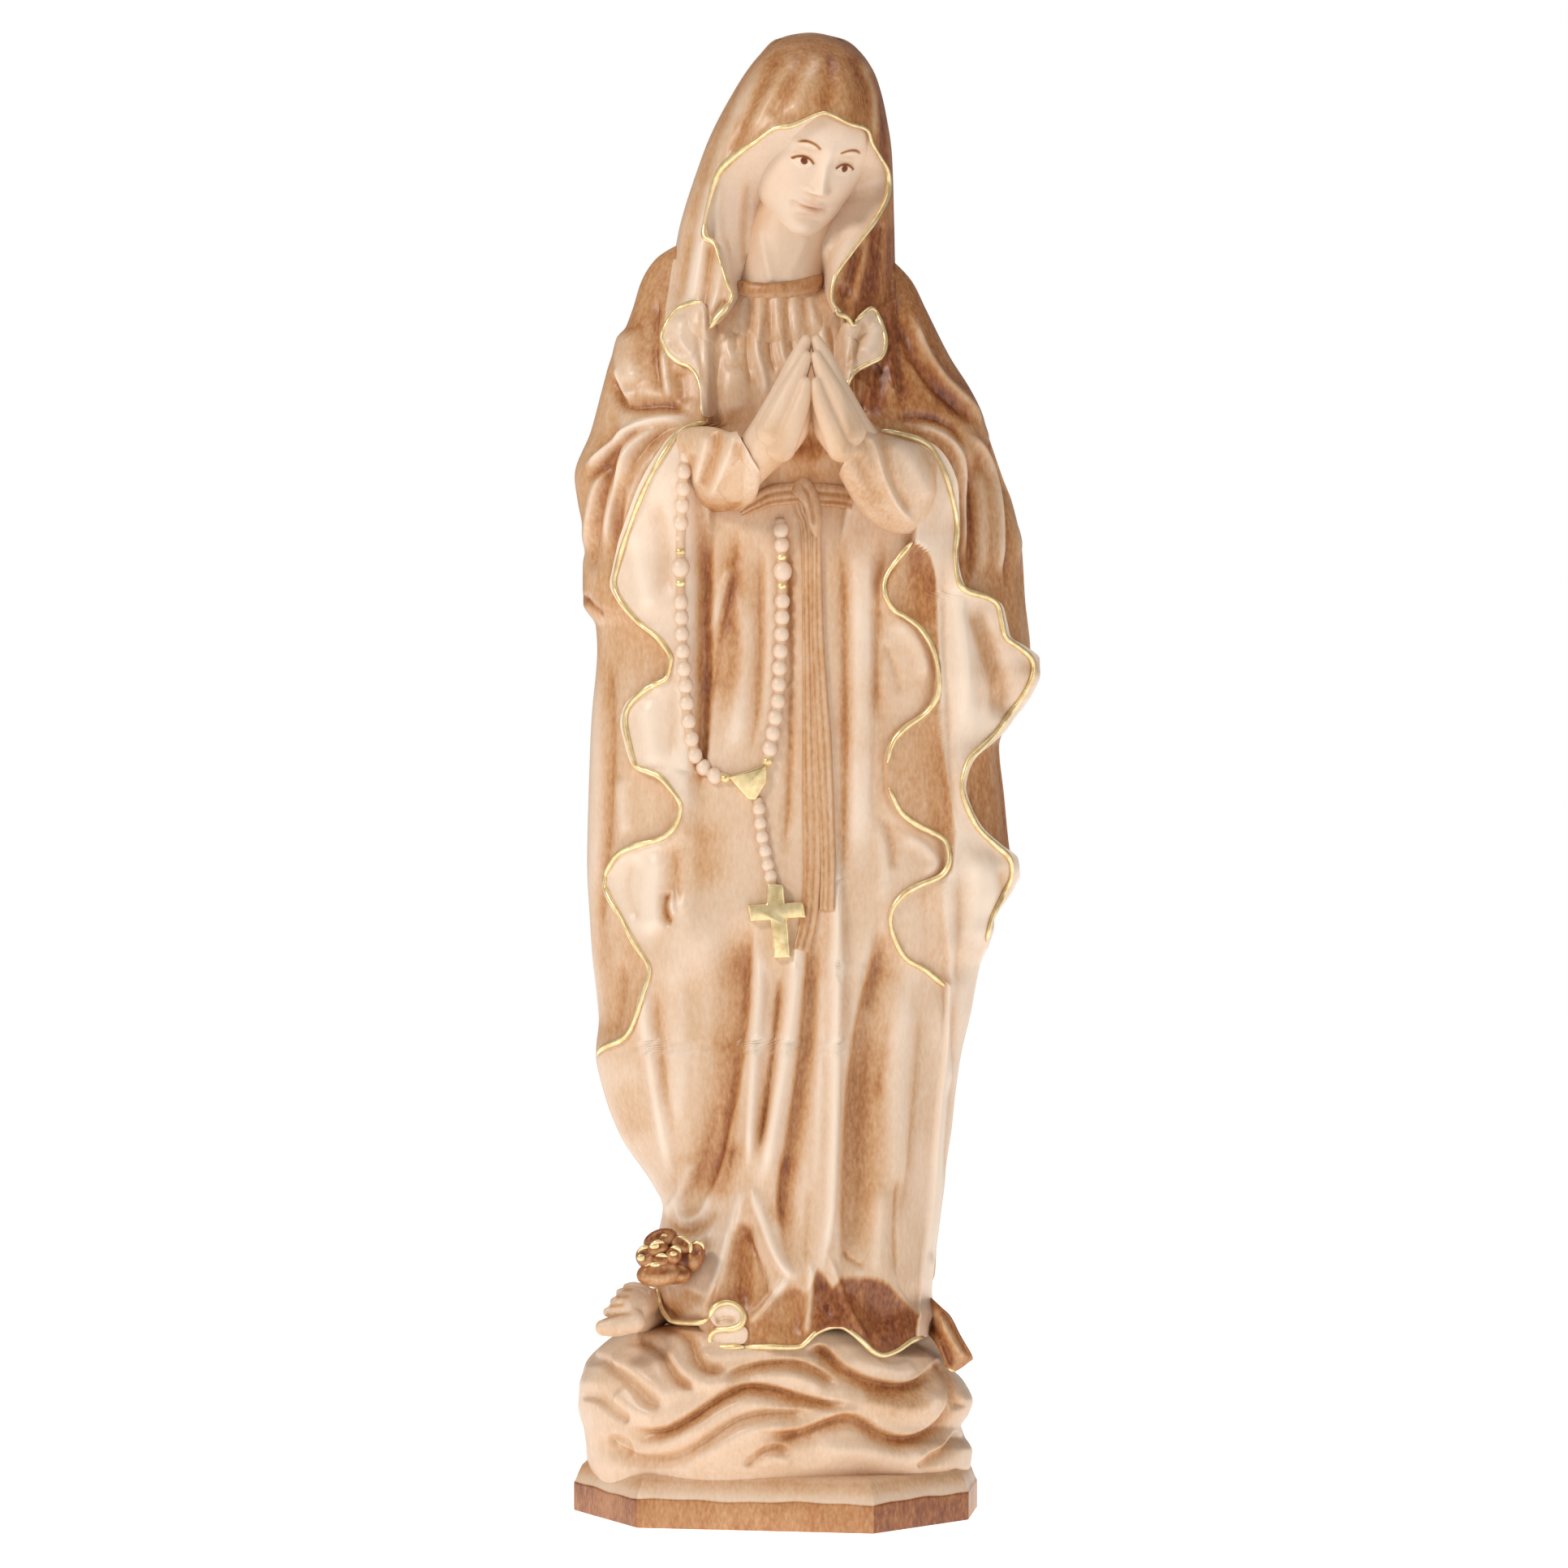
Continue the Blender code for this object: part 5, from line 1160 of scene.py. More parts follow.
# Swellings of the face, each (x, z, reach in x and in z, height); those off the middle come in pairs.
for place, *form in [
    (2.7, -9.6, 1.2, 1.1, 1.2), (6.9, 0.6, 4.4, 3.0, -2.4), (6.9, -0.4, 3.2, 2.1, 2.0),
    (7.2, 5.2, 4.6, 1.5, 0.8), (9.8, -7.2, 4.6, 4.6, 0.9), (5.4, -15.8, 1.3, 1.3, -0.6),
    (12.5, -14, 4, 5, -0.5), (1.4, -14.7, 1.5, 0.8, 0.3), (0, -14.5, 4.4, 1.0, 1.3),
    (0, -17.2, 3.6, 1.2, 1.6), (0, -15.8, 4.6, 0.42, -0.9), (0, -12.6, 0.8, 1.1, -0.4),
    (0, -19.9, 4.2, 1.1, -0.9), (0, -23.6, 4.4, 2.8, 1.5), (0, -8.7, 1.7, 1.4, 0.5),
]:
    for cx in sorted({place, -place}):
        rise += bump(cx, *form)
for s in (-1, 1):
    upper = [(s * 3.6, -1.0), (s * 5.2, 0.5), (s * 7.2, 0.9), (s * 9.2, 0.2), (s * 10.6, -1.1)]
    lower = [(s * 3.7, -1.2), (s * 5.6, -2.2), (s * 8.2, -2.2), (s * 10.3, -1.3)]
    rise += 0.45 * stroke(hx, hz, upper, 0.6, ends=(0.05, 0.05))
    rise += 0.3 * stroke(hx, hz, lower, 0.55, ends=(0.05, 0.05))
    crease = [(s * 3.8, 1.4), (s * 6.9, 2.9), (s * 10.6, 1.2)]
    rise -= 0.35 * stroke(hx, hz, crease, 0.6)
hy = hy - rise * facing
shadow = blur(rise, 5, 4) - rise
head_tone = 0.11 + np.clip(shadow * 0.10, -0.05, 0.20)
# Painted shade: the sides of the head and the brow under the hood are darker.
head_tone = head_tone + 0.10 * step(14, 19, np.abs(hx)) + 0.12 * step(8, 16, hz)
head_paint = 0.34 * (bump(0, -14.7, 4.4, 0.8, 1) + bump(0, -17.0, 3.6, 1.0, 1)) * facing
for s in (-1, 1):
    head_paint += 0.10 * bump(s * 9.5, -7.5, 4.2, 3.6, 1) * facing
    upper = [(s * 3.6, -1.0), (s * 5.2, 0.35), (s * 7.2, 0.75), (s * 9.2, 0.05), (s * 10.8, -1.3)]
    white = np.exp(-np.abs((hx - s * 7.1) / 3.1) ** 4 - np.abs((hz + 0.75) / 1.25) ** 4) * facing
    head_tone = head_tone * (1 - white) - 0.02 * white
    iris = step(1.25, 0.95, np.hypot(hx - s * 6.9, hz + 0.6)) * step(0.9, 0.3, hz) * facing
    head_tone += iris * (1.0 - head_tone)
    lash = stroke(hx, hz, upper, 0.62, ends=(0.05, 0.08), form="line") * facing
    head_tone += np.clip(lash * 1.8, 0, 1) * 0.85
    brow = stroke(hx, hz, [(s * 3.0, 4.6), (s * 5.6, 6.2), (s * 8.6, 6.4), (s * 11.6, 4.6)], 0.7,
                  ends=(0.1, 0.3), form="line")
    head_tone += np.clip(brow * 1.5, 0, 1) * 0.7 * facing
head_tone += 0.30 * stroke(hx, hz, [(-4.9, -15.7), (0, -15.9), (4.9, -15.7)], 0.45, form="line") * facing


def turned_about(angle, axis):
    """Rotation by degrees about a named axis."""
    return np.array(Matrix.Rotation(math.radians(angle), 3, axis))


HEAD_POSE = turned_about(11, "Y") @ turned_about(21, "Z") @ turned_about(19, "X")
local = np.stack([hx, hy, hz], axis=2).reshape(-1, 3)
head_points = (local * (1.05, 1, 1)) @ HEAD_POSE.T * 0.94 + (10.2, -8.8, 421.5)
veil_limit = on_veil(head_points[:, 0], head_points[:, 2]) + 1.3
covered = head_points[:, 2] > 424
head_points[:, 1] = np.where(covered, np.maximum(head_points[:, 1], veil_limit), head_points[:, 1])
head = piece("head", head_points, grid_faces(*hx.shape, wrap=True), skin, node="head_and_neck",
             stain=head_tone)
paint = head.data.attributes.new("paint", "FLOAT", "POINT")
paint.data.foreach_set("value", np.clip(head_paint, 0, 1).astype(np.float32).ravel())

rows, around = 60, np.linspace(0, 2 * math.pi, 90, endpoint=False)
neck_line = along([(0.4, -6.5, 368), (0.9, -6.6, 376), (2.2, -6.0, 386), (4.6, -5.6, 396), (7.3, -5.2, 404)],
                  rows)
girth = smooth([(0, 15.4), (0.15, 14.0), (0.4, 13.4), (0.7, 13.2), (1, 13.4)], np.linspace(0, 1, rows))
nx = neck_line[:, None, 0] + girth[:, None] * np.cos(around)
ny = neck_line[:, None, 1] + girth[:, None] * 0.98 * np.sin(around)
nz = neck_line[:, None, 2] + 0 * nx
cords = 0.7 * stroke(nx, nz, [(-6, 396), (-3.5, 386), (-1, 377)], 1.6)
cords += 0.5 * stroke(nx, nz, [(10, 392), (6, 384), (3.4, 377)], 1.6)
cords -= 0.5 * stroke(nx, nz, [(-1.5, 378.5), (1.2, 376.5), (3.6, 378.5)], 1.4)
ny -= cords * (np.sin(around) < 0)
neck_side = np.abs(nx - neck_line[:, None, 0])
# Painted shade at the sides of the neck and high under the chin, and a painted highlight on its cords.
neck_tone = 0.22 + 0.08 * step(8, 12, neck_side) - 0.05 * cords + 0.06 * step(388, 398, nz)
piece("neck", np.stack([nx, ny, nz], axis=2), grid_faces(rows, 90, wrap=True), skin, node="head_and_neck",
      stain=neck_tone)

# The collar of the dress stands round the neck.
arc = np.radians(np.linspace(188, 352, 70))
levels = np.array([(-3.0, -0.3), (-2.4, 0.55), (-1.2, 0.95), (0.6, 0.95), (1.5, 0.6), (1.9, -0.3)])
collar = []
for up, out in levels:
    radius = 14.3 + out
    z = 375.9 + up + 2.4 * np.abs(np.cos(arc)) ** 2.4 + 0.8 * np.cos(arc)
    collar.append(np.stack([-0.1 + radius * np.cos(arc), -6.9 + radius * np.sin(arc), z], axis=1))
tones = np.array([0.36, 0.40, 0.56, 0.58, 0.60, 0.66])[:, None] + np.zeros((6, 70))
piece("collar", np.array(collar), grid_faces(6, 70), maple, node="robe", stain=tones)
# Cloth between collar and chest, gathered.
arc = np.radians(np.linspace(180, 360, 150))
share = np.linspace(0, 1, 34)[:, None]
yoke_x = 0.2 + (13.8 + 9 * share) * np.cos(arc)
yoke_z = 374.4 + 1.5 * np.abs(np.cos(arc)) ** 2.4 - (1.2 + 16 * np.abs(np.sin(arc))) * share
start_y = -6.9 + 13.8 * np.sin(arc)[None, :]
end_y = on_body(yoke_x[-1:], yoke_z[-1:]) + 1.0
yoke_y = start_y + (end_y - start_y) * step(0, 1, share) - 1.0 * np.sin(math.pi * share)
gathers = np.zeros_like(yoke_x)
for x, height in (
    (-10.6, 1), (-5.4, 1), (0.4, 1), (6.0, 1), (11.6, 1), (-8, -0.9), (-2.4, -0.9), (3.4, -0.9), (9, -0.9),
):
    path = [(x * 0.92, 373.5), (x, 366), (x * 1.1, 356)]
    gathers += height * stroke(yoke_x, yoke_z, path, 1.15, ends=(0.02, 0.7))
yoke_y -= 0.5 * gathers
tones = 0.38 + 0.05 * step(0.3, 1, share) - 0.13 * gathers
piece("yoke", np.stack([yoke_x, yoke_y, yoke_z], axis=2), grid_faces(34, 150, flip=True), maple, node="robe",
      stain=tones)

# ---------------------------------------------------------------- hands and sleeves

PALM = 10.9
FINGERS = [
    # little, ring, middle and index, from knuckle to tip, with the palm behind them
    [(-2.4, -48.5, 330, 5.4), (2.6, -49.0, 340, 4.4), (6.2, -49.2, 347.5, 3.3), (9.0, -49.0, 353.0, 2.0)],
    [(-1.6, -51.6, 333, 6.0), (3.2, -52.4, 344, 4.5), (6.6, -52.6, 352.5, 3.2), (9.2, -52.4, 358.6, 1.9)],
    [(-1.0, -54.6, 334, 5.8), (3.4, -55.4, 345, 4.3), (6.8, -55.8, 354.0, 3.1), (9.3, -55.8, 360.0, 1.8)],
    [(-1.2, -56.8, 332, 5.2), (3.6, -58.2, 342.5, 3.9), (7.2, -58.8, 350.0, 2.8), (9.4, -58.8, 355.0, 1.8)],
    # thumb
    [(1.5, -57.0, 327, 4.8), (5.4, -60.2, 334.5, 3.4), (8.2, -61.0, 341.5, 2.7), (9.4, -61.0, 346.8, 1.9)],
    # palm, heel and wrist
    [(-12.5, -40.0, 316, 6.0), (-7.5, -45.0, 322.5, 6.8), (-2.4, -49.5, 328.5, 7.8),
     (2.4, -52.5, 335, 8.2), (5.2, -53, 342, 6.6)],
    [(1.0, -53.0, 328.0, 5.6), (4.6, -54.6, 333.5, 5.8), (6.6, -55.6, 340.0, 5.0)],
]


def to_palm(points):
    """The hand pressed flat where the two palms meet."""
    points[:, 0] = np.minimum(points[:, 0], PALM - 0.06)
    return points


hand_points, hand_shape = blob("hand", FINGERS, 0.42, 4, to_palm)
# Painted shade where the palms meet and where the hand goes into the sleeve; a darker band also runs across
# the hand near the knuckles.
depth_shadow = np.exp(-np.abs(hand_points[:, 0] - PALM) / 1.6) * step(349, 335, hand_points[:, 2])
hand_tone = 0.25 + 0.16 * depth_shadow + 0.12 * step(326, 317, hand_points[:, 2])
wrist = hand_points[:, 0] + 0.2 * (hand_points[:, 2] - 330)
hand_tone += 0.12 * np.exp(-(wrist**2) / 20) * step(340, 330, hand_points[:, 2])
piece("hand_right", hand_points, hand_shape, skin, node="right_hand", stain=hand_tone)
mirrored = hand_points * (-1, 1, 1) + (2 * PALM, 0, 0)
mirrored[:, 1] += 5 * step(20, 29, mirrored[:, 0])
piece("hand_left", mirrored, [f[::-1] for f in hand_shape], skin, node="left_hand", stain=hand_tone)


def sleeve(name, sections, across, folds, node, tone):
    """A bell sleeve: sections of (x, y, z, half height, half depth) from elbow to cuff, and its lip."""
    keys = along(sections, 110)
    lip = keys[-1] + np.array([(0, 0, 0, -0.3, -0.3), (0, 0, 0, -1.0, -1.0), (0, 0, 0, -1.3, -1.3)])
    back = keys[-1] - keys[-8]
    lip[1, :3] -= 0.15 * back[:3]
    lip[2, :3] -= 1.4 * back[:3]
    keys = np.concatenate([keys, lip])
    turn = np.linspace(0, 2 * math.pi, 180, endpoint=False)
    up = np.array(across, float)
    up /= np.linalg.norm(up)
    cut = keys[:, None, 3] * np.cos(turn)
    x = keys[:, None, 0] + up[0] * cut
    z = keys[:, None, 2] + up[1] * cut
    power = np.abs(np.sin(turn)) ** 0.9 * np.sign(np.sin(turn))
    y = keys[:, None, 1] + keys[:, None, 4] * power
    body = np.ones((len(keys), 1))
    body[-3:] = 0.3
    ridge, tint = carved(x, z, folds)
    y = y - ridge * body * (np.sin(turn) < 0)
    shade = tone(x, z) + tint * body
    # Painted shade inside the cuff's opening; the cuff's edge is a little lighter.
    shade[-2:] += 0.4
    shade[-4] -= 0.1
    piece(name, np.stack([x, y, z], axis=2), grid_faces(*x.shape, wrap=True), maple, node=node, stain=shade)


sleeve(
    "sleeve_right",
    [(-30, -20, 318, 12, 9), (-25, -27, 319.2, 14.0, 9.5), (-18.6, -34, 320.6, 14.6, 10),
     (-13, -40.5, 322.2, 12.8, 9.4), (-9.6, -45.0, 323.6, 9.4, 8.4), (-8.2, -46.6, 325.2, 7.9, 7.9)],
    (-0.5, 0.87),
    [([(-12.6, 334), (-13.6, 328), (-16.6, 320), (-20.6, 310)], 1.7, 1.6, -0.16),
     ([(-11.8, 330), (-11.6, 322), (-13.6, 312)], 2.2, -1.3, 0.14),
     ([(-17.4, 333), (-18.6, 325), (-22.6, 314)], 1.8, -1.8, 0.2),
     ([(-21.4, 332), (-23, 324), (-25.6, 314)], 1.8, 1.6, -0.16),
     ([(-25.6, 326), (-26.6, 318), (-26.6, 309)], 1.5, -1.3, 0.16),
     ([(-22, 307.6), (-16, 307), (-10, 311)], 1.6, -0.8, 0.16),
     ([(-9.4, 331.6), (-8.4, 324.6), (-4, 318.6)], 0.9, 0.9, -0.18)],
    # Darker at the underside above the belt, as painted shade where the sleeve meets the robe.
    "right_sleeve", lambda x, z: 0.34 - 0.06 * step(-20, -8, x) + 0.16 * step(315, 307, z),
)
sleeve(
    "sleeve_left",
    [(50, -20, 309, 9, 8), (45, -26, 311.5, 12.6, 9.5), (38, -32.5, 315, 14, 10.6),
     (31, -39.5, 318.8, 12.4, 11.0), (25.4, -45.0, 323.4, 9.6, 10.2), (22.6, -47.2, 325.8, 7.8, 9.4)],
    (0.42, 0.91),
    [([(26, 333.6), (30.6, 328), (33.4, 318), (37.6, 309), (43.4, 302)], 1.5, 2.2, -0.14),
     ([(30.4, 332.6), (34, 326), (36.6, 316), (42, 307)], 1.8, -1.3, 0.12),
     ([(24.6, 326), (27.6, 318), (33, 309)], 2.2, -1, 0.12),
     ([(36, 331), (43, 322), (47.6, 310)], 3.4, 1.6, -0.08),
     ([(44.6, 328), (50, 316), (51, 304)], 1.6, -1, 0.12),
     ([(24.4, 332.6), (23.4, 326), (19.2, 320)], 0.9, 0.9, -0.14),
     ([(22, 317.4), (29, 310), (37, 304)], 1.6, -0.5, 0.1)],
    "left_sleeve", lambda x, z: 0.38 - 0.10 * step(32, 44, x),
)

# ---------------------------------------------------------------- belt and sash


def relaid(x, z, spread=1.4):
    """Body surface averaged a little, for strips that lie on it."""
    return (on_body(x - spread, z) + on_body(x + spread, z) + 2 * on_body(x, z)) / 4


def strip(name, spine, half, thick, node, tone, groove, rows=90):
    """A band of cloth with two grooves cut along it."""
    columns = 13
    points, faces = band_points(spine, half, thick, relaid, rows, columns)
    grid = points.reshape(rows, columns, 3)
    place = np.linspace(-1, 1, columns)
    shade = tone + 0.25 * np.abs(place) ** 6 + 0 * grid[:, :, 0]
    for middle in (0.15, -0.5):
        grid[:, :, 1] += groove * np.exp(-(((place - middle) / 0.16) ** 2))
        shade += 0.18 * np.exp(-(((place - middle) / 0.2) ** 2))
    piece(name, grid, faces, maple, node=node, stain=shade)


strip("belt_left", [(-11, 306.8), (-6.5, 309.6), (-1, 312.2), (7, 313.0)], [1.5, 3.0, 3.7, 3.5], 1.5, "belt",
      0.44, groove=0.45)
strip("belt_right", [(8, 312.8), (13.5, 312.4), (19, 312.0), (24, 311)], [3.6, 3.9, 3.8, 3.6], 1.5, "belt",
      0.48, groove=0.45)
strip("sash_short", [(11.5, 314), (12.2, 300), (12.6, 268), (14.4, 236), (16, 202), (15.6, 184)],
      [1.6, 2.0, 2.5, 3.0, 2.6, 2.4], 1.9, "sash_tail_short", 0.38, rows=160, groove=0.45)
LONG_TAIL = [
    (5.6, 313.4), (7.6, 307), (9.4, 300), (10, 268), (10.6, 236), (11.4, 204), (10.4, 184), (7.8, 171.5),
]
strip("sash_long", LONG_TAIL, [1.8, 1.9, 2.0, 2.2, 2.8, 3.4, 3.0, 3.0], 1.1, "sash_tail_long", 0.38,
      rows=160, groove=0.35)
KNOT = [
    (4.8, 313.4), (6, 316.2), (8.4, 317.7), (10.8, 316.6), (12.9, 313), (13.9, 308), (14.1, 303), (12.6, 299),
    (10.2, 302), (8.8, 308), (7, 311.2),
]
KNOT_CREASE = [(8, 316), (10.6, 311), (11.6, 303)]
knot, faces, r = pillow(KNOT, relaid, 2.6, rings=20, count=90, edge=1.0,
                        relief=lambda x, z: -0.7 * stroke(x, z, KNOT_CREASE, 0.7))
tone = 0.38 + 0.3 * np.clip(r - 0.7, 0, 1) + 0.18 * stroke(knot[:, 0], knot[:, 2], KNOT_CREASE, 0.9)
piece("knot", knot, faces, maple, node="belt_knot", stain=tone)

# ---------------------------------------------------------------- rosary

BEAD, BIG = 2.35, 2.9
RIGHT_STRAND = [
    (-25.8, 328.3), (-27.3, 324.2), (-28.3, 319.6), (-28.6, 314.4), (-28.9, 309.2), (-29.3, 303.8),
    (-29.3, 279.3), (-29.2, 274.6), (-29.0, 269.4), (-28.7, 264.2), (-28.3, 258.8), (-27.8, 253.6),
    (-27.4, 248.2), (-26.9, 242.6), (-26.1, 237.2), (-25.0, 232.2), (-22.3, 228.4), (-18.9, 225.8),
]
LEFT_STRAND = [
    (1.5, 301.5), (1.8, 296.9), (2.0, 279.6), (1.9, 274.6), (1.7, 269.4), (1.4, 264.2), (1.1, 259.0),
    (0.9, 253.9), (0.6, 248.8), (-0.2, 243.8), (-0.9, 238.9), (-1.9, 234.2),
]
PENDANT = [(-5.2, 215.6), (-4.8, 211.2), (-4.2, 206.9), (-3.3, 202.6), (-2.5, 198.4), (-1.6, 194.8)]


def bead_chain(name, cord, beads, node):
    """Beads of wood over a raised cord, all carved proud of the robe."""
    parts = []
    for (x, z), radius in beads:
        y = float(relaid(x, z)) - 0.35 * radius
        parts.append(ball_points((x, y, z), (radius, radius * 0.92, radius * 1.14), 15, 22))
    points, faces = joined(parts)
    # Each bead is darker towards its back, where it sinks into the cloth, as painted shade.
    y = points.reshape(len(beads), -1, 3)[..., 1]
    rim = np.clip((y - y.min(axis=1, keepdims=True)) / np.array([r for _, r in beads])[:, None] - 0.25, 0, 1)
    piece(name, points, faces, maple, node=node, stain=0.10 + 0.34 * rim)
    line = along(cord, 60)
    y = on_body(line[:, 0], line[:, 1]) - 0.5
    cord_points = np.stack([line[:, 0], y, line[:, 1]], axis=1)
    tube(name + "_cord", cord_points, 1.5, maple, sides=10, node=node, stain=0.30)


RIGHT_CORD = [
    (-25.4, 331), (-28.4, 318), (-29.3, 300), (-29.3, 278), (-28.3, 258), (-26.6, 239), (-22, 228),
    (-15, 225),
]
bead_chain("beads_right", RIGHT_CORD,
           [(p, BEAD) for p in RIGHT_STRAND] + [((-29.4, 299.2), 1.6), ((-29.4, 290.0), BIG)],
           "rosary_right_strand")
bead_chain("beads_left", [(1.2, 305), (1.9, 290), (1.8, 270), (1.0, 252), (-1, 238), (-3.2, 229)],
           [(p, BEAD) for p in LEFT_STRAND] + [((2.1, 288.8), BIG)], "rosary_left_strand")
bead_chain("beads_pendant", [(-5.6, 219), (-4.6, 210), (-3, 201), (-1.2, 192)], [(p, 2.0) for p in PENDANT],
           "rosary_pendant_strand")


def studs(name, places, node):
    """Gilded links between the beads, at (x, z, radius)."""
    parts = []
    for x, z, radius in places:
        y = float(relaid(x, z)) - 1.3
        parts.append(ball_points((x, y, z), (radius * 1.1, radius * 0.9, radius * 0.9), 9, 14))
    points, faces = joined(parts)
    piece(name, points, faces, gold, node=node, slot="gilding")


studs("gold_studs_right", [(-29.4, 294.9, 1.5), (-29.4, 285.2, 1.5), (-15.6, 225.1, 1.6)],
      "rosary_right_strand")
studs("gold_studs_left", [(1.8, 293.2, 1.5), (1.9, 284.3, 1.5), (-2.6, 230.3, 1.6)], "rosary_left_strand")


def slab(name, outline, thick, node):
    """A flat gilded plaque with a soft edge, lying on the cloth."""
    outline = np.array(outline, float)
    closed = np.concatenate([outline, outline[:1]])
    rim = []
    for a, b in zip(closed, closed[1:]):
        count = max(3, int(np.linalg.norm(b - a) / 0.7))
        rim += [a + (b - a) * t for t in np.linspace(0, 1, count, endpoint=False)]
    rim = np.array(rim)
    d = np.roll(rim, -1, axis=0) - np.roll(rim, 1, axis=0)
    d /= np.linalg.norm(d, axis=1)[:, None]
    inward = np.stack([-d[:, 1], d[:, 0]], axis=1)
    area = np.sum(rim[:, 0] * np.roll(rim[:, 1], -1) - np.roll(rim[:, 0], -1) * rim[:, 1])
    inward *= 1 if area > 0 else -1
    base = relaid(rim[:, 0], rim[:, 1], 2.5) - 0.9
    flat = (base + np.median(base)) / 2
    rings = []
    for inset, rise in ((0, -0.8), (0, thick - 0.5), (0.176, thick - 0.15), (0.56, thick)):
        p = rim + inward * inset
        rings.append(np.stack([p[:, 0], flat - rise, p[:, 1]], axis=1))
    points = np.concatenate(rings)
    faces = [tuple(f) for f in grid_faces(4, len(rim), wrap=True, flip=area > 0)]
    faces.append(tuple(range(3 * len(rim), 4 * len(rim))))
    piece(name, points, faces, gold, node=node, slot="gilding")


slab("centre_plaque", [(-14.6, 225.4), (-2.9, 229.2), (-2.8, 224), (-6.2, 218.4), (-8.6, 218.6)], 1.6,
     "rosary_centre")
CROSS = [(-2.5, 192.6), (2.3, 192.2), (2.8, 186.6), (8.3, 186.9), (9.2, 182.2), (3.6, 181.9),
         (4.4, 169.9), (-0.7, 169.7), (-1.6, 181.4), (-7.8, 181.0), (-8.8, 186.0), (-2.9, 186.3)]
slab("cross", CROSS, 2.3, "rosary_cross")

# ---------------------------------------------------------------- hem at the feet


def low_hem(x, z):
    """Depth of the robe's hem, also just below its lowest row."""
    return on_body(x, np.maximum(z, 50.8))


def turned_back(x, z):
    """Depth under the cloth that curls back at the hem."""
    return low_hem(x, z) - 0.2


FOOT_HEM = [
    (-36.6, 68), (-36.2, 65), (-35.2, 61.8), (-33.4, 59), (-31.6, 57.7), (-27, 57.3), (-22.6, 57.5),
    (-20.8, 58.8),
]
CURL_HEM = [
    (-20.6, 58.6), (-19.2, 61.8), (-16.4, 63.4), (-13.4, 63.3), (-10.9, 61.6), (-9.8, 59), (-10.9, 56.6),
    (-13.8, 55.4), (-18, 55.1), (-20.2, 53.2), (-20, 50.8), (-17.4, 49.7), (-9.8, 49.9),
]
FRONT_HEM = [
    (-10.4, 49.9), (-1.8, 49.9), (6.5, 49.8), (9.4, 51.4), (12.4, 54.4), (16.5, 56.1), (20.4, 56.1),
    (24, 53.9), (26.9, 51.4), (30, 48.5), (33.3, 47.3), (37.5, 48.8), (41.8, 51.8), (45.4, 53),
]
gold_line("gold_hem_foot", FOOT_HEM, lambda x, z: low_hem(np.maximum(x, -35.4), z) - 0.3, radius=0.7)
gold_line("gold_hem_curl", CURL_HEM, lambda x, z: low_hem(x, z) - 0.9, radius=0.82)
gold_line("gold_hem_front", FRONT_HEM, low_hem, radius=0.68)
CURL = [
    (-20.2, 58.6), (-19, 61.6), (-16.4, 63.1), (-13.4, 63.0), (-11, 61.2), (-10.1, 59), (-11.2, 57),
    (-13.8, 56), (-17.8, 56),
]
curl, faces, r = pillow(
    CURL, turned_back, 0.2, rings=14, count=70, edge=0.8,
    relief=lambda x, z: -1.2 * stroke(x, z, [(-19, 58.4), (-15, 59.4), (-12, 58.4)], 1.6),
)
# Painted shade along the fold inside the curl; it is also darker towards its rim.
tone = 0.14 + 0.3 * stroke(curl[:, 0], curl[:, 2], [(-19, 57.4), (-15, 58), (-12, 57.4)], 1.2)
tone += 0.2 * np.clip(r - 0.8, 0, 1)
piece("hem_curl", curl, faces, maple, node="robe", stain=tone)
TURNBACK = [
    (-20, 53), (-18, 54.8), (-14, 55), (-10, 56.2), (-8.6, 54), (-10, 51), (-16, 50.4), (-19, 51),
]
curl, faces, r = pillow(TURNBACK, turned_back, 0.3, rings=12, count=60, edge=0.7)
piece("hem_turnback", curl, faces, maple, node="robe", stain=0.16 + 0.2 * np.clip(r - 0.6, 0, 1))

# ---------------------------------------------------------------- cloud mound

# Outline and depth of the mound: (height, left, right, front, back).
MOUND = [
    (5.0, -55.5, 56, -37.0, 36), (10.0, -56.5, 57, -38.2, 36.5), (13, -57.6, 60, -39.8, 38),
    (18, -58.4, 60.6, -41.3, 38.5), (22, -59, 57.8, -42, 39), (25, -59.4, 57.0, -42.4, 39),
    (29, -60.4, 59.6, -42.4, 39), (33, -60.9, 60.8, -42, 39), (38, -60.8, 58, -41.5, 39),
    (43, -59, 54.5, -40.6, 38.5), (48, -56, 52, -38.6, 37.5), (51.5, -52.5, 50, -37.0, 35),
    (54.5, -47, 47, -35, 31), (56.5, -38, 40, -30, 24), (57.2, -20, 24, -16, 12), (57.4, -2, 4, -2, 2),
]
levels = np.concatenate([np.arange(5.0, 54.4, 0.42),
                         54.5 + 2.9 * np.sin(np.linspace(0, 1, 18) * math.pi / 2)])
CLOUD_COLUMNS = 420
turns = np.linspace(-math.pi, math.pi, CLOUD_COLUMNS, endpoint=False)
left, right, near, rear = (smooth(MOUND, levels, k)[:, None] for k in (1, 2, 3, 4))
sine, cosine = np.sin(turns)[None, :], np.cos(turns)[None, :]
share = oval(sine, 2.5)
mx = (left + right) / 2 + (right - left) / 2 * sine
my = np.where(cosine > 0, near, rear) * share
mz = levels[:, None] + 0 * mx
out_x, out_y = mx / 60, my / 41
size = np.maximum(np.hypot(out_x, out_y), 1e-3)
out_x, out_y = out_x / size, out_y / size
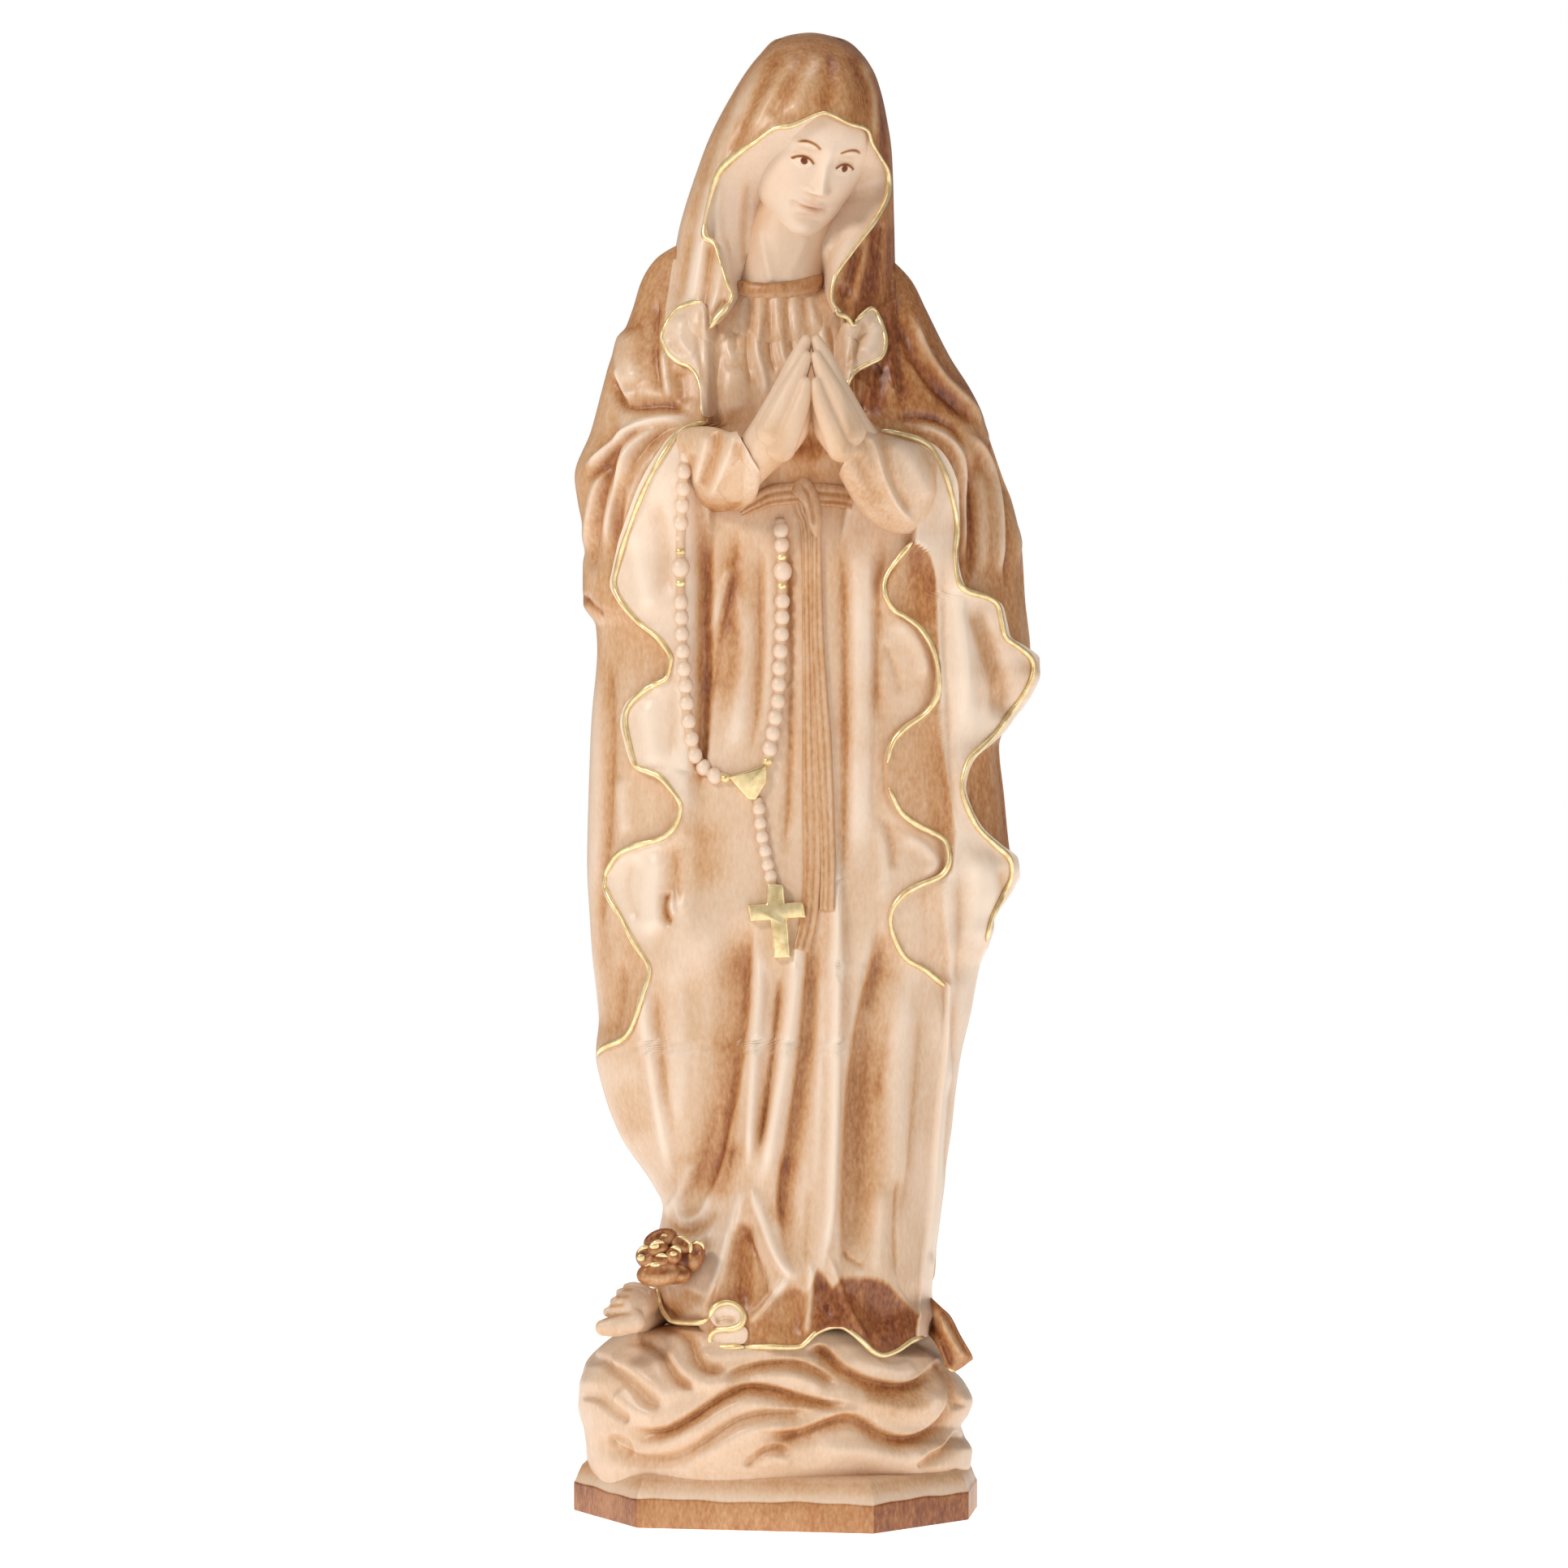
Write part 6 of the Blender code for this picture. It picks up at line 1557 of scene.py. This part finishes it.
CLOUDS = [
    # (path, crisp reach above, soft reach below, depth, stain): below a line the cloud tucks under, and its
    # colour darkens there, partly stain and partly painted shade
    ([(-47, 25.6), (-40, 24), (-33.6, 24.8), (-27, 28.2), (-20, 32.8), (-14, 36.4), (-8, 38), (0, 37),
      (8, 34.6), (16, 32.8), (25, 31.8)], 0.9, 4.6, 3.2, 0.46),
    ([(-47, 51.4), (-41, 50.2), (-36, 47), (-33.4, 42.4), (-30.4, 38.6), (-25, 36.6)], 3.4, 0.9, 2.6, 0.26),
    ([(-39, 55), (-34.6, 55.4), (-29.6, 53.6), (-27, 50), (-25.6, 45.6), (-22.6, 42.8), (-19, 42),
      (-14.6, 43.6)], 3, 1, 2.4, 0.28),
    ([(-17, 40.6), (-10, 43.4), (-2, 45), (6, 45), (12, 43), (17, 40), (19.4, 36.6)], 0.9, 3.4, 2.2, 0.34),
    ([(9, 48), (14, 49.6), (18, 46.4), (22, 43), (28, 40), (36, 38.2), (42, 38.6), (46, 41), (48.4, 45)],
     0.9, 5, 3, 0.5),
    ([(-56, 24), (-50, 19.6), (-44, 16.6), (-38, 15.8), (-32, 16.6), (-25, 19.6), (-18, 24.4),
      (-11, 28.2), (-4, 29.8), (4, 29.8), (14, 29.6)], 0.9, 4.0, 2.4, 0.22),
    ([(-6, 23.6), (2, 23.2), (8, 24), (15, 26.6), (22, 28.6), (27, 27), (32, 23.8), (38, 21.8),
      (44, 22.4), (50, 26), (54, 32), (54.6, 38)], 1.0, 4.4, 3.0, 0.46),
    ([(-10, 12.6), (-7.4, 15.8), (-4, 18.2), (0, 19.2), (4.6, 18)], 0.9, 2.6, 1.7, 0.22),
    ([(-53, 20.4), (-49.6, 22.4), (-46, 20.4), (-44.6, 17)], 0.9, 2.2, 1.4, 0.16),
    ([(43, 12.6), (48, 16), (53, 19), (57, 24)], 1, 3, 2.2, 0.26),
    ([(49, 46), (53, 41), (56, 35), (59, 31)], 0.9, 3, 2, 0.26),
    ([(-59, 45), (-54, 45), (-50, 42), (-45, 38), (-40, 33), (-35, 30.6)], 3, 1, 2, 0.14),
    ([(-60, 35), (-55, 33.6), (-50, 29.6), (-45, 26.4)], 3, 1, 1.6, 0.1),
]
SWELLS = [
    ([(-50, 36), (-43, 30.6), (-36, 27.6)], 3.2, 1.6),
    ([(-52, 47), (-44, 44), (-38, 39), (-31, 33)], 3.2, 2),
    ([(-34, 50.6), (-31, 46), (-27, 41.6), (-20, 38.4), (-12, 40)], 2.6, 1.8),
    ([(-44, 21), (-34, 20.8), (-25, 25), (-13, 32.6), (2, 33)], 3, 1.5),
    ([(6, 31.6), (16, 30), (26, 29.4)], 2, 1),
    ([(-28, 14.6), (-18, 18.6), (-8, 24), (4, 26.6)], 3.4, 1.4),
    ([(12, 18), (26, 17.4), (38, 15.4), (48, 18.6)], 4, 1.8),
    ([(24, 34), (34, 31.6), (44, 31), (50, 38)], 3, 1.4),
    ([(-8, 41), (2, 41.4), (10, 39.4), (15, 36.4)], 2.4, 1.4), ([(-5, 13.6), (0, 15.4), (5, 13.4)], 2, 1),
    ([(22, 47), (30, 44), (38, 42.6), (43, 45)], 2.6, 1.4),
    ([(-23, 50), (-20, 47), (-14, 47.6), (0, 48.6)], 2.2, 1),
]
mound_relief, mound_tone = np.zeros_like(mx), 0.26 + 0 * mx
front_side = (cosine > 0) + 0 * mx
for points, above, below, rise, tint in CLOUDS:
    touch = stroke(mx, mz, points, above, below, ends=(0.12, 0.12)) * front_side
    mound_relief -= rise * touch
    # Darker below each line: partly stain, partly painted shade under the overhang.
    mound_tone += tint * stroke(mx, mz, points, above * 1.3, below * 0.8, ends=(0.16, 0.16)) * front_side
# Painted shade under the wave at the right.
mound_tone += 0.22 * stroke(mx, mz, [(26, 36), (38, 31.6), (48, 34)], 4.6) * front_side
for points, reach, rise in SWELLS:
    touch = stroke(mx, mz, points, reach) * front_side
    mound_relief += rise * touch
    mound_tone -= 0.05 * touch
rolling = np.sin(0.42 * mz + 2.6 * np.sin(2 * turns)[None, :] + 3 * turns[None, :])
mound_relief += 1.3 * rolling * step(0.1, -0.25, cosine) * step(57, 48, mz) * step(9, 14, mz)
mound_relief -= 6 * step(46.5, 51, mz) * step(33, 40, mx) * front_side
mound_relief *= step(7, 15, mz)
mound_tone -= 0.14 * rolling * step(0.1, -0.25, cosine)
mound_relief *= step(57.4, 53.5, mz)
points = np.stack([mx + out_x * mound_relief, my + out_y * mound_relief, mz], axis=2)
piece("cloud", points, grid_faces(len(levels), CLOUD_COLUMNS, wrap=True), maple, node="cloud_mound",
      stain=mound_tone)


# ---------------------------------------------------------------- foot, rose and trailing hem

TOES = [
    [(-44, -39.5, 58.0, 3.9), (-49.5, -41.4, 56.4, 3.4), (-53.2, -41.8, 55.8, 2.6)],
    [(-43.6, -37.6, 61.4, 2.7), (-48.4, -38.6, 61.4, 2.1), (-51.8, -38.6, 60.6, 1.6)],
    [(-42.6, -35.6, 64.0, 2.5), (-47.0, -36.4, 64.4, 1.9), (-49.8, -36.4, 63.8, 1.5)],
    [(-41.6, -33.6, 66.0, 2.3), (-45.4, -34.2, 67.0, 1.7), (-48.0, -34.2, 66.6, 1.4)],
    [(-40.6, -31.8, 67.2, 2.1), (-43.8, -32.2, 68.6, 1.5), (-46.0, -32.2, 68.4, 1.2)],
    [(-38.4, -11, 63.2, 4.6), (-41.2, -22, 63.4, 5.4), (-44.0, -33, 62.8, 5.6), (-46.8, -38.0, 61.8, 4.7)],
    [(-36.4, -10, 60.0, 4.0), (-40.6, -20, 59.0, 4.6), (-43.6, -29, 58.6, 4.4), (-46.5, -38.0, 58.4, 4.0)],
]
foot_points, foot_shape = blob("foot", TOES, 0.42, 3)
fx, fz = foot_points[:, 0], foot_points[:, 2]
# Painted shade: the foot is darker at its underside, where it goes under the hem, and in lines between the
# toes.
foot_tone = 0.20 + 0.14 * step(57, 53, fz) + 0.16 * step(-41, -37, fx)
for points in [
    [(-53.6, 58.6), (-48, 59.8), (-43.6, 60)],
    [(-51.4, 62.4), (-46, 63)],
    [(-49.4, 65.2), (-44.6, 65.4)],
    [(-47.4, 67.6), (-43.4, 67.4)],
]:
    foot_tone += 0.30 * stroke(fx, fz, points, 0.8, ends=(0.1, 0.3))
piece("foot", foot_points, foot_shape, maple, node="right_foot", stain=foot_tone)

# The rose on the foot: curled petals round a tight middle, each one a thick shell with a rolled rim.
# Each petal: centre (x, z), half width, half height, turn in degrees, how far its middle stands out, where
# its back lies. The first one backs the flower and narrows to the robe behind.
PETALS = [
    (-33.4, 77.4, 8.2, 7.4, 10, 2.6, -38.4), (-36.0, 72.6, 7.0, 4.2, 8, 4.6, -40.0),
    (-29.6, 72.8, 3.8, 3.0, -24, 3.4, -39.0), (-24.8, 78.0, 3.0, 5.0, -14, 3.8, -38.0),
    (-39.8, 77.6, 3.4, 3.6, 24, 3.8, -40.6), (-35.6, 83.0, 5.4, 3.2, 20, 3.6, -38.6),
    (-29.4, 81.4, 3.6, 2.6, -30, 3.2, -39.2), (-36.4, 80.2, 3.4, 2.4, 12, 3.0, -43.0),
    (-31.6, 78.2, 2.7, 2.9, -20, 2.8, -43.6), (-35.4, 76.6, 2.9, 1.9, 0, 2.4, -44.0),
]
# Rings behind a petal: how far back, share of its outline, shift in x and z.
CALYX = [(2.5, 1.0, 0, 0), (8, 0.72, 2.5, -3), (15, 0.1, 5, -6)]
parts, rose_tones, gold_parts = [], [], []
for index, (cx, cz, wide, high, turn, out, rear) in enumerate(PETALS):
    turn = math.radians(turn)
    r, a = np.meshgrid(np.sin(np.linspace(0, 1, 13) * math.pi / 2),
                       np.linspace(0, 2 * math.pi, 40, endpoint=False), indexing="ij")
    flat_x, flat_z = r * wide * np.cos(a), r * high * np.sin(a)
    dome = out * np.sqrt(np.clip(1 - r**3, 0, 1))
    hollow_z, hollow_x = (flat_z - 0.26 * high) / (0.40 * high), flat_x / (0.66 * wide)
    cup = 0.46 * out * np.exp(-(hollow_z**2) - hollow_x**2)
    waves = 0.5 * np.sin(3 * a + 1.7 * index) * r**2 + 0.3 * np.sin(5 * a + index) * r**3
    x = cx + flat_x * math.cos(turn) - flat_z * math.sin(turn)
    z = cz + flat_x * math.sin(turn) + flat_z * math.cos(turn)
    points = [np.stack([x, rear - dome + cup + waves, z], axis=2).reshape(-1, 3)]
    for behind, share, shift_x, shift_z in CALYX if index == 0 else CALYX[:1]:
        ring_x, ring_z = cx + shift_x + (x[-1] - cx) * share, cz + shift_z + (z[-1] - cz) * share
        points.append(np.stack([ring_x, np.full(40, rear + behind), ring_z], axis=1))
    parts.append((np.concatenate(points), grid_faces(12 + len(points), 40, wrap=True)))
    # Painted shade in each petal's cup; the petals are also darker towards their rims.
    tone = {0: 0.82, 1: 0.44}.get(index, 0.52) + 0.32 * r**3 + 0.34 * np.clip(cup / out * 2, 0, 1)
    rose_tones.append(np.append(tone.ravel(), np.full(40 * (len(points) - 1), 0.84)))
    if index not in (0, 2, 5):
        arc = np.linspace(0.62, 2.3, 16)
        ax, az = 0.86 * wide * np.cos(arc), 0.86 * high * np.sin(arc)
        rim = np.stack([cx + ax * math.cos(turn) - az * math.sin(turn), np.full(16, rear - 0.74 * out),
                        cz + ax * math.sin(turn) + az * math.cos(turn)], axis=1)
        gold_parts.append((tube_points(rim, 0.7 * np.sin(np.linspace(0.15, 3.0, 16)), 8), 16))
points, faces = joined(parts)
piece("rose", points, faces, maple, node="foot_rose", stain=np.concatenate(rose_tones))
gilt = [(p.reshape(-1, 3), grid_faces(count, 8, wrap=True)) for p, count in gold_parts]
for cx, cz, wide, high in [
    (-37.4, 81.0, 1.6, 1.1), (-41.5, 77.4, 1.3, 1.2), (-37.2, 75.3, 1.7, 0.8), (-31.6, 78.6, 1.3, 0.8),
    (-26.4, 80.6, 0.8, 1.8), (-34.4, 84.2, 1.1, 0.7),
]:
    under = points[np.hypot(points[:, 0] - cx, points[:, 2] - cz) < 1.0]
    gilt.append(ball_points((cx, under[:, 1].min() + 0.25, cz), (wide, 0.7, high)))
points, faces = joined(gilt)
piece("rose_gold", points, faces, gold, node="foot_rose", slot="gilding")


def trailing(x, z):
    """Depth behind the brown cloth at the mound's right, further back where the robe hides it."""
    return -15.5 - 0.35 * (60 - x) + 15 * step(51.5, 46, x) * step(47, 57, z)


outline = [(42, 64), (45, 67.6), (48, 65), (51, 62.2), (54, 59.2), (57, 53.4), (60.6, 47), (59.6, 45.2),
           (55, 42.2), (52.6, 43.2), (50.4, 48.6), (47.6, 53), (43.4, 57)]
TRAILS = [([(46.6, 62), (51, 58), (54.4, 52), (58.4, 45.4)], 1.5, 1.5, -0.18),
          ([(45, 58), (49, 55), (52.4, 49), (54.6, 43)], 1.2, -1.4, 0.2),
          ([(48, 64.6), (53.4, 58.6), (57, 51.4), (60, 46.4)], 1.1, -1.2, 0.14)]
points, faces, r = pillow(outline, trailing, 2.6, rings=24, count=130, edge=3.4, centre=(50.6, 55),
                          relief=lambda x, z: carved(x, z, TRAILS)[0])
tone = 0.66 + carved(points[:, 0], points[:, 2], TRAILS)[1]
piece("trailing_cloth", points, faces, maple, node="trailing_hem", stain=tone)
gold_line("gold_trailing", [(55.2, 42.4), (53.4, 43.2), (51.6, 46.4)], lambda x, z: trailing(x, z) - 3.8,
          radius=0.5)

# ---------------------------------------------------------------- plinth, dowels and pegs

half_x, half_y, cut_x, cut_y = 61.0, 42.0, 36.0, 12.0
corners = np.array([(-cut_x, -half_y), (cut_x, -half_y), (half_x, -cut_y), (half_x, cut_y), (cut_x, half_y),
                    (-cut_x, half_y), (-half_x, cut_y), (-half_x, -cut_y)])
sides = []
for a, b in zip(corners, np.roll(corners, -1, axis=0)):
    span = np.linalg.norm(b - a)
    inner = np.concatenate([[0.004], np.linspace(0.03, 0.97, max(5, int(span / 1.5))), [0.996]])
    sides.append(a + (b - a) * inner[:, None])
rim = np.concatenate(sides)
face_of = np.concatenate([np.full(len(s), k) for k, s in enumerate(sides)])
# Section of the board's edge from its underside to under the mound: (height, inset, stain). The slope up to
# the mound darkens partly as stain and partly as painted shade under the mound's edge.
profile = [
    (0.0, 0.5, 0.7), (0.15, 0.1, 0.62), (0.5, 0.0, 0.56), (4.5, 0.0, 0.54), (8.0, 0.0, 0.56),
    (8.6, 0.05, 0.6), (8.9, 0.25, 0.14), (9.4, 0.5, 0.12), (10.6, 0.9, 0.2), (12.2, 1.5, 0.34),
    (14.0, 2.4, 0.4), (15.2, 3.6, 0.3), (15.8, 6, 0.3), (16, 12, 0.3),
]
uneven = 0.25 * np.sin(np.arange(len(rim)) * 0.23) + 0.15 * np.sin(np.arange(len(rim)) * 0.61)
points, tones = [], []
for z, inset, tone in profile:
    k = 1 - inset / np.array([half_x, half_y])
    level = z + uneven * (5 < z < 10)
    points.append(np.stack([rim[:, 0] * k[0], rim[:, 1] * k[1], level + 0 * rim[:, 0]], axis=1))
    # The two front chamfers are darker, the right one more: painted shade.
    shade = np.where(face_of == 1, 0.22, np.where(face_of == 7, 0.16, 0.02)) * (z < 8.7)
    tones.append(tone + shade)
points, tones = np.array(points), np.array(tones)
count = len(rim)
flat = np.concatenate([points.reshape(-1, 3), [(0, 0, 16)], [(0, 0, 0)]])
faces = [tuple(f) for f in grid_faces(len(profile), count, wrap=True)]
top = (len(profile) - 1) * count
faces += [(top + i, top + (i + 1) % count, top + count) for i in range(count)]
faces += [((i + 1) % count, i, top + count + 1) for i in range(count)]
piece("board", flat, faces, maple, node="plinth", stain=np.append(tones.ravel(), [0.2, 0.5]) + 0.04,
      drawn=False)

# Dowels and pegs keep their CAD shapes.
dowel_wood = wood("dowel_beech", fixed=0.25)
for name in ("base_dowel_left", "base_dowel_right", "neck_dowel", "right_hand_peg", "left_hand_peg"):
    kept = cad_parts[name]
    kept.data.materials.clear()
    kept.data.materials.append(dowel_wood)

# ---------------------------------------------------------------- floor, light and camera

bpy.ops.mesh.primitive_plane_add(size=1, location=(0, 0, 0))
floor = bpy.context.object
floor.name = "floor"
floor.scale = (6, 6, 1)
paper = bpy.data.materials.new("white_paper")
paper.use_nodes = True
for setting, value in [
    ("Base Color", (0.9, 0.9, 0.9, 1)), ("Roughness", 1.0),
    ("Emission Color", (1, 1, 1, 1)), ("Emission Strength", 0.9),
]:
    paper.node_tree.nodes["Principled BSDF"].inputs[setting].default_value = value
floor.data.materials.append(paper)

world = bpy.data.worlds.new("studio")
bpy.context.scene.world = world
world.use_nodes = True
nodes, links = world.node_tree.nodes, world.node_tree.links
nodes["Background"].inputs["Strength"].default_value = 0.22
backdrop = nodes.new("ShaderNodeBackground")
backdrop.inputs["Strength"].default_value = 1.0
for background in (nodes["Background"], backdrop):
    background.inputs["Color"].default_value = (1, 1, 1, 1)
mix = nodes.new("ShaderNodeMixShader")
links.new(nodes.new("ShaderNodeLightPath").outputs["Is Camera Ray"], mix.inputs[0])
links.new(nodes["Background"].outputs[0], mix.inputs[1])
links.new(backdrop.outputs[0], mix.inputs[2])
links.new(mix.outputs[0], nodes["World Output"].inputs["Surface"])


def light(name, place, target, width, power, tint=(1, 1, 1)):
    """A square soft light that looks at its target."""
    data = bpy.data.lights.new(name, "AREA")
    data.shape = "SQUARE"
    data.size = width
    data.energy = power
    data.color = tint
    made = bpy.data.objects.new(name, data)
    bpy.context.scene.collection.objects.link(made)
    made.location = place
    made.rotation_euler = (Vector(target) - Vector(place)).to_track_quat("-Z", "Y").to_euler()


light("key", (-0.75, -0.95, 1.0), (0, 0, 0.24), 0.32, 8.5, (1.0, 0.98, 0.95))
light("fill", (1.1, -0.8, 0.45), (0, 0, 0.22), 0.5, 2.0)
light("top", (0.1, -0.1, 1.5), (0, 0, 0.3), 0.5, 2.4)

camera_data = bpy.data.cameras.new("camera")
camera_data.lens = 104.35
camera_data.sensor_width = 36
camera = bpy.data.objects.new("camera", camera_data)
bpy.context.scene.collection.objects.link(camera)
camera.location = (SPIN @ np.array([EYE_X, -EYE_DISTANCE, EYE_Z]) * 0.001).tolist()
camera.rotation_euler = (math.radians(90), 0, TURN)
bpy.context.scene.camera = camera
bpy.context.scene.view_settings.view_transform = "Standard"
